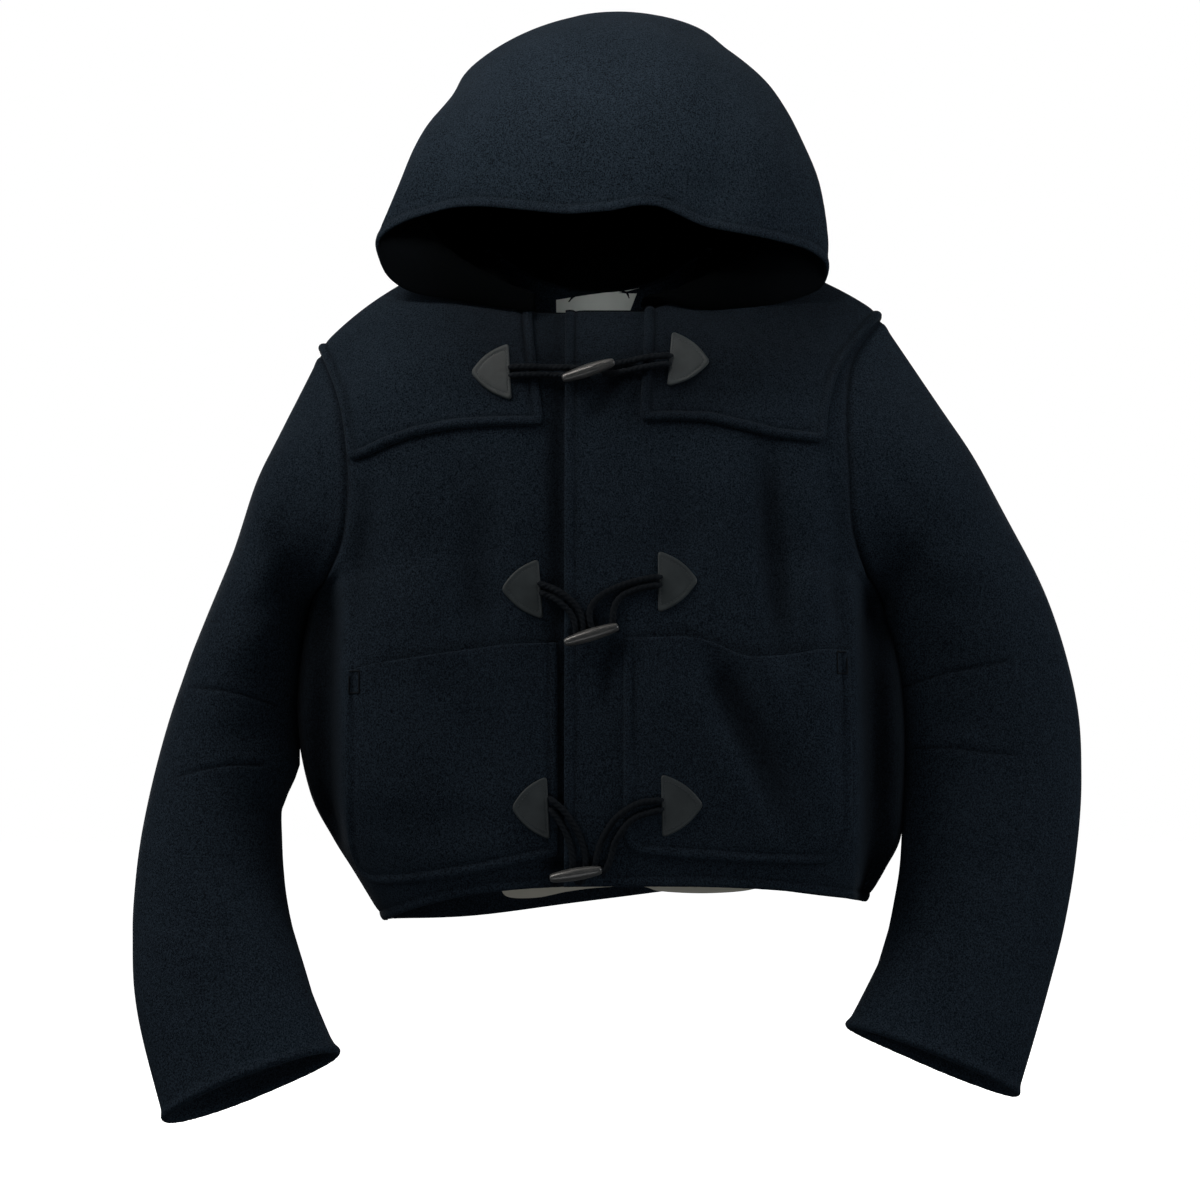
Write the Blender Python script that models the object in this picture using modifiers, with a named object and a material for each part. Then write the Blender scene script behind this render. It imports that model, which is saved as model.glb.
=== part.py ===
"""A cropped, hooded duffle coat in heavy melton, filled out as if worn, in metres with +Z up.

The front faces -Y and the wearer's left side is +X. The origin is at the top of the shoulders, between the
two side neck points, where the wearer carries the coat. All the sizes below are in millimetres.

The shell of the body is one surface, body(s, t). s runs across, from -1 at the wearer's right edge to 1 at
the left one. t runs from 0 at the front hem over the shoulder seam at 12 to 24 at the back hem, and from 6
to 18 its edges are the armholes. Fronts, back, yokes, pockets and patches are all made from its points.
"""

import math
from collections import namedtuple

import bpy
import numpy as np
from mathutils import Vector
from mathutils.bvhtree import BVHTree

MM = 0.001
CLOTH = 3.0  # thickness of the melton
SEAM = 0.16  # each piece stops this far short of its seam line
LAY = 0.8  # a piece that lies on another starts this far above it
ON_TOP = 0.5  # the same for leather, cords and toggles
LEATHER = 1.8
CORD_RADIUS = 2.3
NECK_HALF_WIDTH = 95.0
FRONT_NECK = 11.25  # where the centre of the front neckline lies along t
BACK_NECK = 12.88
SHOULDER = 12.0
UNDERARM = 6.0
OVERLAP_EDGE = -31.0  # the left front laps over as far as this
UNDERLAP_EDGE = 14.0
SHOULDER_DROP = 3.0  # power of the fall from neck to shoulder tip, and of the hem from middle to side
NECK_CORNER = 50.0  # the front neckline is level as far as this from the middle
LAP = 2.6  # where the fronts lap, the right one lies this far in and the left one this far out
LAP_START = 78.0  # how far from the middle the fronts start to part
LAP_WIDTH = {"right": 26.0, "left": 38.0}  # and over what width they do
HEM_WAVE_START = 22.0  # t at which the waves of the back hem begin
HALVINGS = 40  # steps of each search for a point of the shell

# Where the back hem sags and rises, and by how much.
Wave = namedtuple("Wave", "x width height")
BACK_HEM_WAVES = [Wave(-140, 90, -12), Wave(120, 85, 10.5)]

# The middle of the body, from the front hem over the shoulder to the back hem.
Middle = namedtuple("Middle", "y z squareness roundness")
MIDDLE = [
    Middle(-112, -581, 3.2, 2.0),
    Middle(-116, -552, 3.4, 2.0),
    Middle(-118, -522, 3.6, 2.0),
    Middle(-119, -485, 3.8, 2.0),
    Middle(-118, -430, 4.0, 2.0),
    Middle(-116, -372, 4.2, 2.0),
    Middle(-114, -318, 4.2, 2.0),
    Middle(-113, -288, 3.6, 1.5),
    Middle(-112, -255, 3.2, 1.15),
    Middle(-109, -208, 3.0, 1.1),
    Middle(-103, -158, 3.0, 1.1),
    Middle(-86, -92, 3.0, 1.05),
    Middle(0, 2, 3.0, 1.0),
    Middle(78, -28, 3.0, 1.05),
    Middle(104, -110, 3.0, 1.1),
    Middle(113, -190, 3.0, 1.1),
    Middle(116, -250, 3.2, 1.15),
    Middle(116, -288, 3.6, 1.5),
    Middle(115, -322, 4.2, 2.0),
    Middle(114, -378, 4.2, 2.0),
    Middle(113, -436, 4.0, 2.0),
    Middle(112, -490, 3.8, 2.0),
    Middle(110, -532, 3.6, 2.0),
    Middle(108, -566, 3.4, 2.0),
    Middle(106, -598, 3.2, 2.0),
]

# The side seams from hem to underarm, then the armholes round to the shoulder tip, for each side.
Edge = namedtuple("Edge", "x y z")
SIDE_SEAM = {
    "right": [
        Edge(-196, 8, -615),
        Edge(-217, 8, -571),
        Edge(-242, 6, -541),
        Edge(-263, 4, -500),
        Edge(-272, 2, -440),
        Edge(-269, 0, -382),
        Edge(-261, 0, -326),
    ],
    "left": [
        Edge(237, 6, -598),
        Edge(256, 6, -568),
        Edge(268, 4, -540),
        Edge(269, 2, -498),
        Edge(263, 0, -438),
        Edge(251, 0, -380),
        Edge(246, 0, -322),
    ],
}
ARMHOLE_FRONT = {
    "right": [
        Edge(-245, -52, -306),
        Edge(-229, -78, -274),
        Edge(-225, -80, -228),
        Edge(-230, -67, -178),
        Edge(-240, -42, -138),
    ],
    "left": [
        Edge(238, -52, -300),
        Edge(225, -78, -266),
        Edge(222, -80, -214),
        Edge(222, -66, -158),
        Edge(231, -40, -108),
    ],
}
SHOULDER_TIP = {"right": Edge(-260, 6, -94), "left": Edge(262, 6, -62)}
ARMHOLE_BACK = {
    "right": [
        Edge(-244, 50, -140),
        Edge(-234, 72, -182),
        Edge(-230, 82, -232),
        Edge(-234, 78, -276),
        Edge(-248, 50, -308),
    ],
    "left": [
        Edge(240, 50, -108),
        Edge(229, 72, -158),
        Edge(226, 82, -216),
        Edge(229, 78, -268),
        Edge(240, 50, -302),
    ],
}
SIGN = {"right": -1.0, "left": 1.0}

# Each sleeve's rings from the underarm to the cuff: middle, half width across the arm, half depth, how far
# the arm leans outwards from straight down, and how far it swings forwards.
Ring = namedtuple("Ring", "x y z half_width half_depth lean swing")
SLEEVES = {
    "right": [
        Ring(-286, 4, -260, 71, 74, 74, 0),
        Ring(-305, 4, -318, 49, 72, 50, 0),
        Ring(-319, 3, -374, 46, 70, 19, 0),
        Ring(-336, 0, -440, 51, 66, 13, 3),
        Ring(-344, -12, -501, 57, 60, 5, 9),
        Ring(-348, -30, -560, 64, 55, -2, 15),
        Ring(-343, -52, -616, 71, 46, -7, 19),
        Ring(-328, -78, -671, 77, 38, -10, 22),
        Ring(-301, -108, -741, 78, 33, -22, 24),
    ],
    "left": [
        Ring(289, 2, -245, 86, 72, 66, 0),
        Ring(313, 0, -297, 72, 62, 38, 0),
        Ring(334, -4, -351, 76, 50, 17, 0),
        Ring(350, -8, -422, 80, 42, 5, 2),
        Ring(355, -14, -488, 81, 39, 0, 5),
        Ring(349, -24, -553, 79, 38, -2, 9),
        Ring(335, -36, -608, 78, 37, -7, 12),
        Ring(317, -50, -660, 77, 35, -10, 14),
        Ring(290, -72, -730, 76, 33, -23, 15),
    ],
}

# The hood's bands from the neck seam over the back and crown to the front edge. Each is an oval through the
# middle of the neckline: how steeply it leans (0 is forwards, 90 up, 180 back), its reach, its half width,
# its squareness, how far its sides sit back, how far its top is pushed to the wearer's left, and how steeply
# it falls to that side.
Band = namedtuple("Band", "tilt reach half_width squareness sides_back shift roll")
HOOD_PIVOT = Edge(-5, -78, -64)
HOOD = [
    Band(150, 236, 148, 2.0, 0, 2, 0),
    Band(139, 298, 166, 2.05, 0, 5, 0),
    Band(126, 334, 176, 2.0, 4, 9, 0),
    Band(112, 332, 180, 1.95, 14, 16, 0),
    Band(99, 270, 187, 2.0, 27, 22, 0.01),
    Band(84, 177, 197, 2.15, 40, 20, 0.04),
    Band(66, 90, 206, 2.6, 53, 12, 0.09),
]
HOOD_REST = 8.2  # the hood's lower sides lie this far above the shell of the shoulders
HOOD_NECK_REST = 4.8  # and its back stands this far above it at the neck seam


def spline(values, at):
    """A smooth curve through the values, which stand at 0, 1, 2 and so on."""
    values = np.asarray(values, float)
    last = len(values) - 1
    at = np.clip(np.asarray(at, float), 0, last)
    low = np.minimum(np.floor(at).astype(int), last - 1)
    f = at - low
    before = np.maximum(low - 1, 0)
    after = np.minimum(low + 2, last)
    slope_low = (values[low + 1] - values[before]) / np.maximum(low + 1 - before, 1)
    slope_high = (values[after] - values[low]) / np.maximum(after - low, 1)
    f2, f3 = f * f, f * f * f
    return (
        values[low] * (2 * f3 - 3 * f2 + 1)
        + slope_low * (f3 - 2 * f2 + f)
        + values[low + 1] * (3 * f2 - 2 * f3)
        + slope_high * (f3 - f2)
    )


def column(rows, name, at):
    return spline([getattr(row, name) for row in rows], at)


def body_edge(side):
    """The edge of the shell all the way from front hem to back hem: side seam, armhole and side seam."""
    seam = SIDE_SEAM[side]
    front, back = ARMHOLE_FRONT[side], ARMHOLE_BACK[side]
    return seam + front + [SHOULDER_TIP[side]] + back + seam[::-1]


EDGES = {side: body_edge(side) for side in SIGN}


def body(s, t):
    """Points of the shell's outer face."""
    s, t = np.broadcast_arrays(np.asarray(s, float), np.asarray(t, float))
    right = {axis: column(EDGES["right"], axis, t) for axis in "xyz"}
    left = {axis: column(EDGES["left"], axis, t) for axis in "xyz"}
    x = (right["x"] + left["x"]) / 2 + s * (left["x"] - right["x"]) / 2
    edge_y = np.where(s < 0, right["y"], left["y"])
    edge_z = np.where(s < 0, right["z"], left["z"])
    out = np.clip(np.abs(s), 0, 1)
    fullness = (1 - out ** column(MIDDLE, "squareness", t)) ** (1 / column(MIDDLE, "roundness", t))
    y = edge_y + (column(MIDDLE, "y", t) - edge_y) * fullness
    middle_z = column(MIDDLE, "z", t)
    z = middle_z + (edge_z - middle_z) * out**SHOULDER_DROP
    for wave in BACK_HEM_WAVES:
        height = wave.height * np.exp(-(((x - wave.x) / wave.width) ** 2)) * (1 - out**8)
        z = z + height * np.clip((t - HEM_WAVE_START) / (24 - HEM_WAVE_START), 0, 1)
    return np.stack([x, y, z], axis=-1)


def body_normal(s, t):
    """Which way the shell faces, outwards."""
    s, t = np.broadcast_arrays(np.asarray(s, float), np.asarray(t, float))
    step = 0.004
    s_low, s_high = np.clip(s - step, -0.999, 0.99), np.clip(s + step, -0.99, 0.999)
    across = body(s_high, t) - body(s_low, t)
    t_low, t_high = np.clip(t - 0.02, 0, 24), np.clip(t + 0.02, 0, 24)
    along = body(s, t_high) - body(s, t_low)
    normal = np.cross(across, along)
    return normal / np.linalg.norm(normal, axis=-1, keepdims=True)


def s_of(x, t):
    right, left = column(EDGES["right"], "x", t), column(EDGES["left"], "x", t)
    return (2 * x - right - left) / (left - right)


def front_place(x, z):
    """The s and t of the point of the front that has this x and z."""
    x, z = np.broadcast_arrays(np.asarray(x, float), np.asarray(z, float))
    low, high = np.zeros(x.shape), np.full(x.shape, SHOULDER - 0.02)
    for _ in range(HALVINGS):
        t = (low + high) / 2
        below = body(s_of(x, t), t)[..., 2] < z
        low, high = np.where(below, t, low), np.where(below, high, t)
    return s_of(x, t), t


def neckline_x(t, start):
    """Half the width of the neck opening at t, from start at the middle of its front."""
    front = np.clip((t - FRONT_NECK) / (SHOULDER - FRONT_NECK), 0, 1)
    back = np.clip((t - SHOULDER) / (BACK_NECK - SHOULDER), 0, 1)
    widening = start + (NECK_HALF_WIDTH - start) * np.sqrt(1 - (1 - front) ** 2)
    return np.where(t <= SHOULDER, widening, NECK_HALF_WIDTH * np.sqrt(1 - back**2))


def smooth_step(x):
    x = np.clip(x, 0, 1)
    return x * x * (3 - 2 * x)


def lapped(points, side):
    """The right front, with what lies on it, dips in to pass under the left one, which stands out."""
    past = LAP_START - SIGN[side] * points[..., 0]
    points[..., 1] -= SIGN[side] * LAP * smooth_step(past / LAP_WIDTH[side])
    return points


# ---------------------------------------------------------------- meshes


def grid_faces(rows, columns, closed=False):
    """Triangles of a grid of points in row order, all split the same way, so that layers lie parallel."""
    faces = []
    for i in range(rows - 1):
        for j in range(columns if closed else columns - 1):
            k = (j + 1) % columns
            a, b, c, d = i * columns + j, i * columns + k, (i + 1) * columns + k, (i + 1) * columns + j
            faces += [(a, b, c), (a, c, d)]
    return faces


def keys_of(points):
    """Whole numbers that are the same for points that meet. The shift keeps round sizes off the borders."""
    return np.floor(points * 100 + 0.37).astype(int)


class Shell:
    """The outer face of a piece of cloth: points, and faces that look outwards."""

    def __init__(self, grids, flip=False, closed=False):
        points, faces = [], []
        for grid in grids:
            start = sum(len(p) for p in points)
            rows, columns = grid.shape[:2]
            points.append(grid.reshape(-1, 3))
            faces += [tuple(start + i for i in face) for face in grid_faces(rows, columns, closed)]
        points = np.concatenate(points)
        _, first, index = np.unique(keys_of(points), axis=0, return_index=True, return_inverse=True)
        index = index.reshape(-1)
        self.points = points[first]
        self.faces = []
        for face in faces:
            ring = [int(index[i]) for i in face]
            if len(set(ring)) == 3:
                self.faces.append(ring[::-1] if flip else ring)

    def normals(self, others=()):
        """Normals at the points, shared with the other shells where their points meet."""
        total = {}
        for shell in (self, *others):
            for face in shell.faces:
                corners = shell.points[face]
                area = np.cross(corners[1] - corners[0], corners[2] - corners[0])
                for key in map(tuple, keys_of(corners)):
                    total[key] = total.get(key, 0) + area
        found = np.array([total[tuple(key)] for key in keys_of(self.points)])
        return found / np.linalg.norm(found, axis=1, keepdims=True)

    def rim(self):
        """The edges with one face, each in the order of its face."""
        edges = {}
        for face in self.faces:
            for a, b in zip(face, face[1:] + face[:1]):
                edges[(a, b)] = None
        return [(a, b) for a, b in edges if (b, a) not in edges]

    def trimmed(self, directions):
        """The points with the rim drawn in from the seam line, and the same move for the inner face."""
        moved = np.zeros_like(self.points)
        inside = {}
        for a, b in self.rim():
            along = self.points[b] - self.points[a]
            for v in (a, b):
                inward = np.cross(directions[v], along)
                inside.setdefault(v, []).append(inward / np.linalg.norm(inward))
        for v, ways in inside.items():
            way = np.sum(ways, axis=0)
            moved[v] = SEAM * way / max(np.dot(way, ways[0]), 0.5)
        return self.points + moved


def cloth(name, shell, paint, thickness=CLOTH, neighbours=()):
    """A closed wall of cloth, its outer face on the shell."""
    normals, keys = shell.normals(neighbours), keys_of(shell.points)
    outer = shell.trimmed(normals)
    inner = outer - normals * thickness
    count = len(outer)
    faces = [list(face) for face in shell.faces]
    faces += [[v + count for v in face[::-1]] for face in shell.faces]
    for a, b in shell.rim():
        # Both pieces of a seam split these quads the same way, so that their walls match.
        if tuple(keys[a]) < tuple(keys[b]):
            faces += [[b, a, a + count], [b, a + count, b + count]]
        else:
            faces += [[b, a, b + count], [a, a + count, b + count]]
    mesh = bpy.data.meshes.new(name)
    mesh.from_pydata((np.concatenate([outer, inner]) * MM).tolist(), [], faces)
    mesh.update()
    return place(name, mesh, paint)


def place(name, data, paint):
    data.materials.append(paint)
    made = bpy.data.objects.new(name, data)
    coat.objects.link(made)
    return made


def paint(name, colour, roughness, metallic=0.0):
    material = bpy.data.materials.new(name)
    material.use_nodes = True
    shader = material.node_tree.nodes["Principled BSDF"]
    shader.inputs["Base Color"].default_value = (*colour, 1)
    shader.inputs["Roughness"].default_value = roughness
    shader.inputs["Metallic"].default_value = metallic
    return material


def cord(name, route, radius, colour, points):
    """A round cord on a smooth curve through its route."""
    route = np.array(route, float)
    at = np.linspace(0, len(route) - 1, points)
    line = np.stack([spline(route[:, axis], at) for axis in range(3)], axis=1) * MM
    curve = bpy.data.curves.new(name, "CURVE")
    curve.dimensions = "3D"
    curve.bevel_depth = radius * MM
    curve.bevel_resolution = 2
    curve.use_fill_caps = True
    path = curve.splines.new("POLY")
    path.points.add(len(line) - 1)
    for point, co in zip(path.points, line):
        point.co = (*co, 1)
    return place(name, curve, colour)


for old in list(bpy.data.objects):
    bpy.data.objects.remove(old, do_unlink=True)
coat = bpy.data.collections.new("duffle_coat")
bpy.context.scene.collection.children.link(coat)

MELTON = paint("melton_navy", (0.006, 0.009, 0.014), 0.95)
LINING = paint("lining_beige", (0.30, 0.27, 0.22), 0.8)
LEATHER_PAINT = paint("leather_black", (0.03, 0.035, 0.038), 0.5)
HORN = paint("horn_dark", (0.02, 0.02, 0.02), 0.3)
CORD_PAINT = paint("cord_black", (0.006, 0.008, 0.012), 0.8)
LABEL = paint("label_grey", (0.42, 0.45, 0.42), 0.7)


# ---------------------------------------------------------------- body panels

FRONT_ROWS = np.array([0, 1, 2, 3, 4.5, 6, 7, 8, 9, 10, 11, FRONT_NECK, 11.26, 11.4, 11.6, 11.8, 12])
BACK_ROWS = np.array([12, 12.25, 12.5, 12.7, BACK_NECK, 13.5, 14, 15, 16, 17, 18, 19.5, 21, 22, 23, 24])
PANEL_COLUMNS = 9


def half_panel(side, rows, inner_x):
    """Rows of points from the outer edge, s = -1 or 1, to the inner one, closer together at the outer."""
    sign = SIGN[side]
    grid = []
    for t, x_in in zip(rows, inner_x):
        s_in = s_of(x_in, t)
        spread = 1 - np.linspace(0, 1, PANEL_COLUMNS) ** 2
        grid.append(body(s_in + (sign - s_in) * spread, np.full(PANEL_COLUMNS, t)))
    return np.array(grid)


def fronts_inner_x(side):
    edge = UNDERLAP_EDGE if side == "right" else OVERLAP_EDGE
    return np.where(FRONT_ROWS > FRONT_NECK, SIGN[side] * neckline_x(FRONT_ROWS, NECK_CORNER), edge)


front_inner = {side: fronts_inner_x(side) for side in SIGN}
fronts = {
    side: Shell([lapped(half_panel(side, FRONT_ROWS, front_inner[side]), side)], flip=side == "left")
    for side in SIGN
}

neck_inner = {
    side: np.where(BACK_ROWS < BACK_NECK, SIGN[side] * neckline_x(BACK_ROWS, 0), 0) for side in SIGN
}
back_halves = {side: half_panel(side, BACK_ROWS, neck_inner[side]) for side in SIGN}
back = Shell([back_halves["right"], back_halves["left"][:, ::-1]])


# ---------------------------------------------------------------- sleeves

SLEEVE_ROWS = np.array([0, 0.5, 1, 1.5, 2, 3, 4, 5, 6, 7, 8, 8.6, 9])
ARMHOLE_ROWS = np.concatenate([FRONT_ROWS[FRONT_ROWS >= UNDERARM][::-1], BACK_ROWS[1:10][::-1]])


def sleeve_ring(side, ring, turn):
    """Points of one ring. turn is 0 at the outer side, 90 in front, 180 at the body and 270 behind."""
    lean, swing, turn = math.radians(ring.lean), math.radians(ring.swing), np.radians(turn)
    out = np.array([SIGN[side] * math.cos(lean), 0, math.sin(lean)])
    forward = np.array([0, -math.cos(swing), math.sin(swing)])
    centre = np.array([ring.x, ring.y, ring.z])
    return (
        centre
        + np.cos(turn)[:, None] * out * ring.half_width
        + np.sin(turn)[:, None] * forward * ring.half_depth
    )


def sleeve_grid(side, rows, around):
    """The sleeve from the armhole, whose points are the shell's own, to the cuff."""
    turn = 180 * (SHOULDER - around) / (SHOULDER - UNDERARM)
    rings = [body(np.full(len(around), SIGN[side]), around)]
    rings += [sleeve_ring(side, ring, turn) for ring in SLEEVES[side]]
    rings = np.array(rings)
    return np.stack([spline(rings, row) for row in rows])


sleeves = {
    side: Shell([sleeve_grid(side, SLEEVE_ROWS, ARMHOLE_ROWS)], flip=side == "right", closed=True)
    for side in SIGN
}

garment = [*fronts.values(), back, *sleeves.values()]
for side in SIGN:
    cloth(f"front_{side}", fronts[side], MELTON, neighbours=[g for g in garment if g is not fronts[side]])
    cloth(f"sleeve_{side}", sleeves[side], MELTON, neighbours=[g for g in garment if g is not sleeves[side]])
cloth("back", back, MELTON, neighbours=[g for g in garment if g is not back])


# ---------------------------------------------------------------- pieces laid on the panels


class Outline:
    """Where a laid piece ends on its panel. The edges are tables of x and z, the sides give x at a t."""

    def __init__(self, outer, inner, low=None, high=None):
        self.outer, self.inner, self.low, self.high = outer, inner, low, high

    def t_limits(self, x):
        limits = []
        for edge, free in ((self.low, 0.0), (self.high, SHOULDER)):
            if edge is None:
                limits.append(np.full(x.shape, free))
            else:
                table = np.array(sorted(edge), float)
                limits.append(front_place(x, np.interp(x, table[:, 0], table[:, 1]))[1])
        return limits


def laid_grid(side, rows, inner_x, outline, out, columns=PANEL_COLUMNS):
    """The panel's own points, drawn in to the outline of the piece and moved out by out(x, t)."""
    sign = SIGN[side]
    spread = 1 - np.linspace(0, 1, columns) ** 2
    panel_t = np.repeat(rows[:, None], columns, axis=1)
    panel_in = np.interp(panel_t, rows, inner_x)
    t = panel_t.copy()
    for _ in range(4):
        inner = np.interp(t, rows, inner_x)
        x = inner + (column(EDGES[side], "x", t) - inner) * spread
        x = sign * np.clip(sign * x, sign * outline.inner(t), sign * outline.outer(t))
        low, high = outline.t_limits(x)
        t = np.clip(panel_t, low, high)
    s = s_of(x, t)
    return body(s, t) + body_normal(s, t) * out(x, t)[..., None]


# ---------------------------------------------------------------- storm yokes

# The lower edge of each front yoke, from the armhole to the middle of the coat.
YOKE_EDGE = {
    "right": [(-226, -208), (-206, -203), (-190, -196), (-163, -187), (-131, -181), (-90, -179), (-48, -178)],
    "left": [(202, -192), (188, -191), (157, -189), (125, -182), (96, -175), (64, -174), (34, -176)],
}
YOKE_INNER = {"right": (48.0, 61.0), "left": (34.0, 40.0)}  # from the middle, at the lower edge and the neck
YOKE_SET_IN = {"right": (3.0, 1.5), "left": (21.0, 1.5)}  # from the armhole, at the lower edge and the tip
YOKE_LOW = 9.5  # t of the lower edges, nearly
YOKE_ROWS = FRONT_ROWS[FRONT_ROWS > 7]
BACK_YOKE_DEPTH = 15.0


def yoke_outline(side):
    low_in, high_in = YOKE_SET_IN[side]
    low, high = YOKE_INNER[side]

    def outer(t):
        rise = smooth_step((t - YOKE_LOW) / (SHOULDER - YOKE_LOW))
        return column(EDGES[side], "x", t) - SIGN[side] * (low_in + (high_in - low_in) * rise)

    def inner(t):
        climb = np.clip((t - YOKE_LOW) / (FRONT_NECK - YOKE_LOW), 0, 1)
        return SIGN[side] * np.where(t > FRONT_NECK, neckline_x(t, high), low + (high - low) * climb)

    return Outline(outer, inner, low=YOKE_EDGE[side])


def above_panel(x, t):
    return np.full(x.shape, LAY + CLOTH)


def back_yoke_half(side):
    rows = BACK_ROWS[BACK_ROWS <= BACK_YOKE_DEPTH]

    def outer(t):
        return column(EDGES[side], "x", t) - SIGN[side] * YOKE_SET_IN[side][1]

    outline = Outline(outer, np.zeros_like)
    outline.t_limits = lambda x: (np.full(x.shape, SHOULDER), np.full(x.shape, BACK_YOKE_DEPTH))
    return laid_grid(side, rows, neck_inner[side][: len(rows)], outline, above_panel)


def front_yoke_grid(side):
    inner_x = front_inner[side][-len(YOKE_ROWS) :]
    return lapped(laid_grid(side, YOKE_ROWS, inner_x, yoke_outline(side), above_panel), side)


front_yokes = {side: Shell([front_yoke_grid(side)], flip=side == "left") for side in SIGN}
back_yoke = Shell([back_yoke_half("right"), back_yoke_half("left")[:, ::-1]])
for side in SIGN:
    cloth(f"yoke_front_{side}", front_yokes[side], MELTON, neighbours=[back_yoke])
cloth("yoke_back", back_yoke, MELTON, neighbours=list(front_yokes.values()))


# ---------------------------------------------------------------- pockets

POCKET_TOP = {
    "right": [(-226, -395), (-218, -394), (-190, -388), (-158, -384), (-119, -378), (-84, -373), (-36, -370)],
    "left": [
        *[(20, -367), (77, -366), (103, -373), (116, -381)],
        *[(128, -385), (160, -382), (197, -376), (222, -376)],
    ],
}
POCKET_BOTTOM = {
    "right": [
        *[(-222, -528), (-207, -559), (-196, -575), (-171, -578)],
        *[(-137, -574), (-101, -568), (-36, -554)],
    ],
    "left": [
        *[(19, -531), (27, -543), (36, -550), (53, -555)],
        *[(124, -560), (190, -561), (205, -556), (222, -528)],
    ],
}
POCKET_SIDES = {"right": (-221.0, -36.0), "left": (218.0, 20.0)}  # x of the outer and the inner side
POCKET_BULGE = {"right": 9.0, "left": 13.0}  # how far the mouth stands open
BULGE_ACROSS, BULGE_UP = 0.8, 1.3  # powers of how the bulge grows from the sides and from the bottom


def pocket_out(side):
    outer, inner = POCKET_SIDES[side]
    top, bottom = (np.array(sorted(table[side]), float) for table in (POCKET_TOP, POCKET_BOTTOM))

    def out(x, t):
        z = body(s_of(x, t), t)[..., 2]
        low, high = np.interp(x, *bottom.T), np.interp(x, *top.T)
        up = np.clip((z - low) / (high - low), 0, 1)
        across = np.clip((x - inner) / (outer - inner), 0, 1)
        return LAY + CLOTH + POCKET_BULGE[side] * np.sin(np.pi * across) ** BULGE_ACROSS * up**BULGE_UP

    return out


POCKET_ROWS = np.array([0, 1, 2, 3, 3.75, 4.5, 5.25, 6])
pockets = {}
for side in SIGN:
    outer, inner = POCKET_SIDES[side]
    outline = Outline(
        lambda t, at=outer: 0 * t + at, lambda t, at=inner: 0 * t + at, POCKET_BOTTOM[side], POCKET_TOP[side]
    )
    edge = np.full(len(POCKET_ROWS), UNDERLAP_EDGE if side == "right" else OVERLAP_EDGE)
    grid = lapped(laid_grid(side, POCKET_ROWS, edge, outline, pocket_out(side)), side)
    pockets[side] = Shell([grid], flip=side == "left")
    cloth(f"pocket_{side}", pockets[side], MELTON)


# ---------------------------------------------------------------- hood

HOOD_END = {side: YOKE_INNER[side][1] for side in SIGN}  # its front ends are where the yokes meet the neck
HOOD_NAPE = 0.6  # how far round the neck seam the hood's rest starts to change to that of its back
HOOD_SETTLE = 6.0  # how softly its lower sides come down onto the shoulders
HOOD_FREE = 0.5  # the bands up to here keep their seam and don't settle in full
SHOULDERS = (9.5, 14.5)  # t of the part of the shell that the hood can lie on


def shoulder_height(x, y):
    """The height of the shell over the shoulders at x and y."""
    low, high = (np.full(x.shape, t) for t in SHOULDERS)
    for _ in range(HALVINGS):
        t = (low + high) / 2
        before = body(s_of(x, t), t)[..., 1] < y
        low, high = np.where(before, t, low), np.where(before, high, t)
    return body(s_of(x, t), t)[..., 2]


def hood_grid(side, rows, around):
    """Half of the hood, from the neck seam to the front edge. around is 0 at the front end and 1 on top."""
    sign = SIGN[side]
    t = FRONT_NECK + (BACK_NECK - FRONT_NECK) * around
    seam_s = s_of(sign * np.where(around < 1, neckline_x(t, HOOD_END[side]), 0), t)
    nape = smooth_step((around - HOOD_NAPE) / (1 - HOOD_NAPE))
    rest = HOOD_REST + (HOOD_NECK_REST - HOOD_REST) * nape
    bands = [body(seam_s, t) + body_normal(seam_s, t) * rest[:, None]]
    for band in HOOD:
        tilt = math.radians(band.tilt)
        share = abs(sign * HOOD_END[side] - HOOD_PIVOT.x) / band.half_width
        start = math.asin(share ** (band.squareness / 2))
        turn = start + (math.pi - start) * around
        across = np.abs(np.sin(turn)) ** (2 / band.squareness)
        up = (1 - np.sign(np.cos(turn)) * np.abs(np.cos(turn)) ** (2 / band.squareness)) / 2
        x = HOOD_PIVOT.x + sign * band.half_width * across + (band.shift - HOOD_PIVOT.x) * up
        y = HOOD_PIVOT.y - math.cos(tilt) * band.reach * up + band.sides_back * across**2
        z = HOOD_PIVOT.z + math.sin(tilt) * band.reach * up - band.roll * (x - HOOD_PIVOT.x) * up
        bands.append(np.stack([x, y, z], axis=1))
    grid = np.stack([spline(np.array(bands), row) for row in rows])
    floor = shoulder_height(grid[..., 0], grid[..., 1]) + HOOD_REST
    lifted = (grid[..., 2] + floor + np.sqrt((grid[..., 2] - floor) ** 2 + HOOD_SETTLE**2)) / 2
    grid[..., 2] += (lifted - grid[..., 2]) * smooth_step(rows / HOOD_FREE)[:, None]
    return grid


HOOD_ROWS = np.array([0, 0.5, 1, 1.5, 2, 2.5, 3, 3.5, 4, 4.5, 5, 5.5, 6, 6.5, 7])
HOOD_AROUND = np.linspace(0, 1, 15)
hoods = {side: Shell([hood_grid(side, HOOD_ROWS, HOOD_AROUND)], flip=side == "right") for side in SIGN}
for side, other in (("right", "left"), ("left", "right")):
    cloth(f"hood_{side}", hoods[side], MELTON, neighbours=[hoods[other]])


# ---------------------------------------------------------------- leather patches


def faces_under(names):
    """The faces of these pieces, to be looked at from the front or from inside."""
    points, faces = [], []
    for name in names:
        mesh = coat.objects[name].data
        faces += [[v + len(points) for v in polygon.vertices] for polygon in mesh.polygons]
        points += [vertex.co.copy() for vertex in mesh.vertices]
    return BVHTree.FromPolygons(points, faces)


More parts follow.
